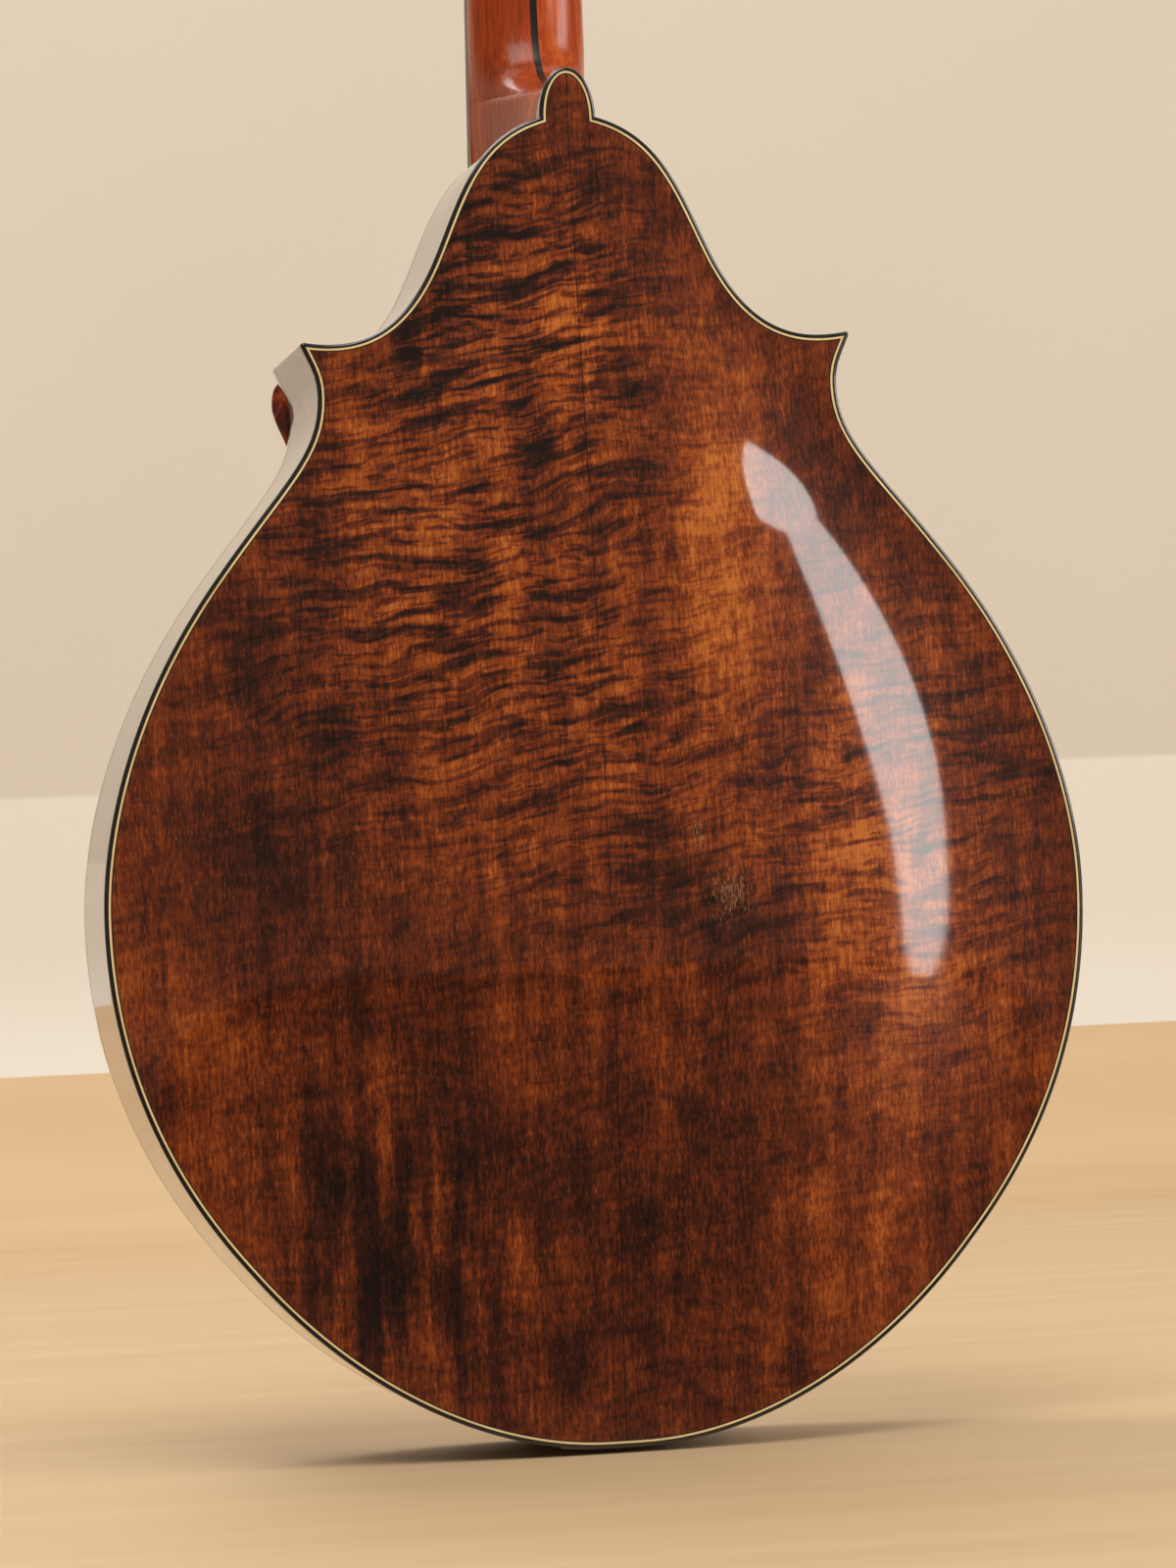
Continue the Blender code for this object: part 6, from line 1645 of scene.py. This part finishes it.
def make_rosette():
    """Inlaid rings round the soundhole: ivory between two black lines."""
    turns = np.linspace(0, 2 * np.pi, 120, endpoint=False)
    for name, start, width, finish in ROSETTE_RINGS:
        rings = []
        for reach, lift in ((start, ROSETTE_PROUD), (start + width, ROSETTE_PROUD),
                            (start + width, -ROSETTE_DEPTH), (start, -ROSETTE_DEPTH)):
            x = (SOUNDHOLE_HALF_WIDTH + reach) * np.cos(turns)
            z = (SOUNDHOLE_HALF_HEIGHT + reach) * np.sin(turns) + SOUNDHOLE_HEIGHT
            y = FRONT_Y - arch(x, z, TOP_ARCH) - lift
            rings.append(np.stack([x, y, z + BODY_BOTTOM], axis=1))
        dress(smooth(bent_loop(name, rings), 40), finish, "body", "black_binding")


# Finishes of the solids that stay

INNER_NODES = ("neck_block", "tail_block", "point_block_treble", "point_block_bass", "top_lining",
               "back_lining", "top_brace")


def finish_inner_solids():
    for name in INNER_NODES:
        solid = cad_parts[name]
        solid.data.materials.clear()
        solid.data.materials.append(FINISHES["inner"])


# Camera, light and stage

CAMERA_PLACE = (0.36137, BACK_Y + 1.8040, BODY_BOTTOM + 0.17793)
CAMERA_YAW = -0.1958
CAMERA_PITCH = 0.0336
CAMERA_ROLL = -0.0450
CAMERA_LENS = 116.7
LAMP_COLOUR = (1.0, 0.97, 0.94)
# Name, place, target, width and height, and power of each lamp
LAMPS = (
    ("window_side", (-1.764, 2.60, 0.57), (-1.764, 0, 0.57), (0.20, 1.24), 8.0),
    ("window_top", (-1.650, 2.60, 1.27), (-1.650, 0, 1.27), (0.20, 0.16), 1.1),
    ("window_wide", (-2.6, 1.5, 1.3), (0, 0, 0.25), (1.2, 1.6), 48),
    ("ceiling", (0.5, 1.7, 2.6), (0, 0, 0.25), (1.8, 1.8), 48),
    ("wall_light", (0.0, -0.4, 2.8), (0, -1.5, 0.2), (3.0, 1.0), 13),
    ("front_fill", (0.7, -1.3, 2.2), (0, 0, 0.4), (1.4, 0.8), 20),
)
WORLD_STRENGTH = 0.18
SKIRTING_FOOT = 0.112
SKIRTING_TOP = 0.304
FLOOR_HALF = 4.0
FLOOR_BACK = -1.5
FLOOR_DROP = 0.0005
DIM_FLOOR_FROM = 0.14
SWEEP = 0.2
WALL_TOP = 3.2


def make_camera():
    data = bpy.data.cameras.new("camera")
    data.lens = CAMERA_LENS
    data.sensor_width = 36.0
    camera = bpy.data.objects.new("camera", data)
    bpy.context.scene.collection.objects.link(camera)
    facing = Matrix(((-1, 0, 0), (0, 0, 1), (0, 1, 0)))
    turn = (Matrix.Rotation(CAMERA_YAW, 3, "Z") @ facing @ Matrix.Rotation(CAMERA_PITCH, 3, "X")
            @ Matrix.Rotation(CAMERA_ROLL, 3, "Z"))
    camera.matrix_world = Matrix.Translation(CAMERA_PLACE) @ turn.to_4x4()
    data.clip_start = 0.01
    bpy.context.scene.camera = camera


def lamp(name, place, target, size, power):
    data = bpy.data.lights.new(name, "AREA")
    data.shape = "RECTANGLE"
    data.size, data.size_y = size
    data.energy = power
    data.color = LAMP_COLOUR
    thing = bpy.data.objects.new(name, data)
    bpy.context.scene.collection.objects.link(thing)
    thing.location = place
    thing.rotation_euler = (Vector(target) - Vector(place)).to_track_quat("-Z", "Y").to_euler()


def make_light():
    for entry in LAMPS:
        lamp(*entry)
    world = bpy.data.worlds.new("studio")
    bpy.context.scene.world = world
    world.use_nodes = True
    background = world.node_tree.nodes["Background"]
    background.inputs["Color"].default_value = (*srgb(240, 228, 210), 1.0)
    background.inputs["Strength"].default_value = WORLD_STRENGTH


def room_finish():
    """Pale boards, a white skirting and a beige wall, told apart by height, and clear from behind.

    In reflections the floor on the back's side is darker than where it is seen directly.
    """
    finish = Finish("room", 0.55)
    place = finish.place()
    height = finish.axis("Z", place)
    grain = finish.mottle((2.0, 22.0, 22.0))
    lit = finish.ramp(grain, (0.3, srgb(213, 181, 138)), (0.7, srgb(222, 192, 150)))
    mirrored = finish.node("ShaderNodeLightPath", {}, {}, "Is Glossy Ray")
    dimmed = finish.axis("Y", place).step(0.0, DIM_FLOOR_FROM) * mirrored
    boards = finish.mix(dimmed, lit, srgb(70, 48, 32))
    soft = finish.mottle((1.5, 1.5, 1.5), 2.0, 0.55)
    wall = finish.ramp(soft, (0.3, srgb(216, 207, 192)), (0.7, srgb(222, 214, 201)))
    skirting = finish.mix(height.step(SKIRTING_FOOT, SKIRTING_FOOT + 0.002), boards, srgb(236, 230, 218))
    finish.colour(finish.mix(height.step(SKIRTING_TOP, SKIRTING_TOP + 0.004), skirting, wall))
    behind = finish.node("ShaderNodeNewGeometry", {}, {}, "Backfacing")
    finish.feed(finish.shader.inputs["Alpha"], 1.0 - behind)
    return finish.material


def make_stage():
    """A floor that sweeps up into a backdrop on the soundboard's side."""
    profile = [(FLOOR_HALF, 0.0), (FLOOR_BACK, 0.0)]
    profile += [(FLOOR_BACK - SWEEP * math.sin(a), SWEEP - SWEEP * math.cos(a))
                for a in np.linspace(0.1, math.pi / 2, 12)]
    profile.append((FLOOR_BACK - SWEEP, WALL_TOP))
    rows = [[(x, y, z - FLOOR_DROP) for x in (-FLOOR_HALF, FLOOR_HALF)] for y, z in profile]
    floor = smooth(bent_grid("floor", rows), 60)
    if floor.data.polygons[0].normal.z < 0:
        edit(floor, (bpy.ops.mesh.flip_normals, {}))
    floor.data.materials.append(room_finish())


make_camera()
make_light()
make_stage()
make_plates()
make_trim("back", True, 1)
make_trim("top", False, -1)
make_ribs()
make_rosette()
make_neck()
make_fingerboard()
make_nut()
make_headstock_face()
make_tuners()
make_strings()
make_bridge()
make_tailpiece()
make_cover()
make_finger_rest()
finish_inner_solids()
bpy.context.scene.view_settings.view_transform = "Standard"
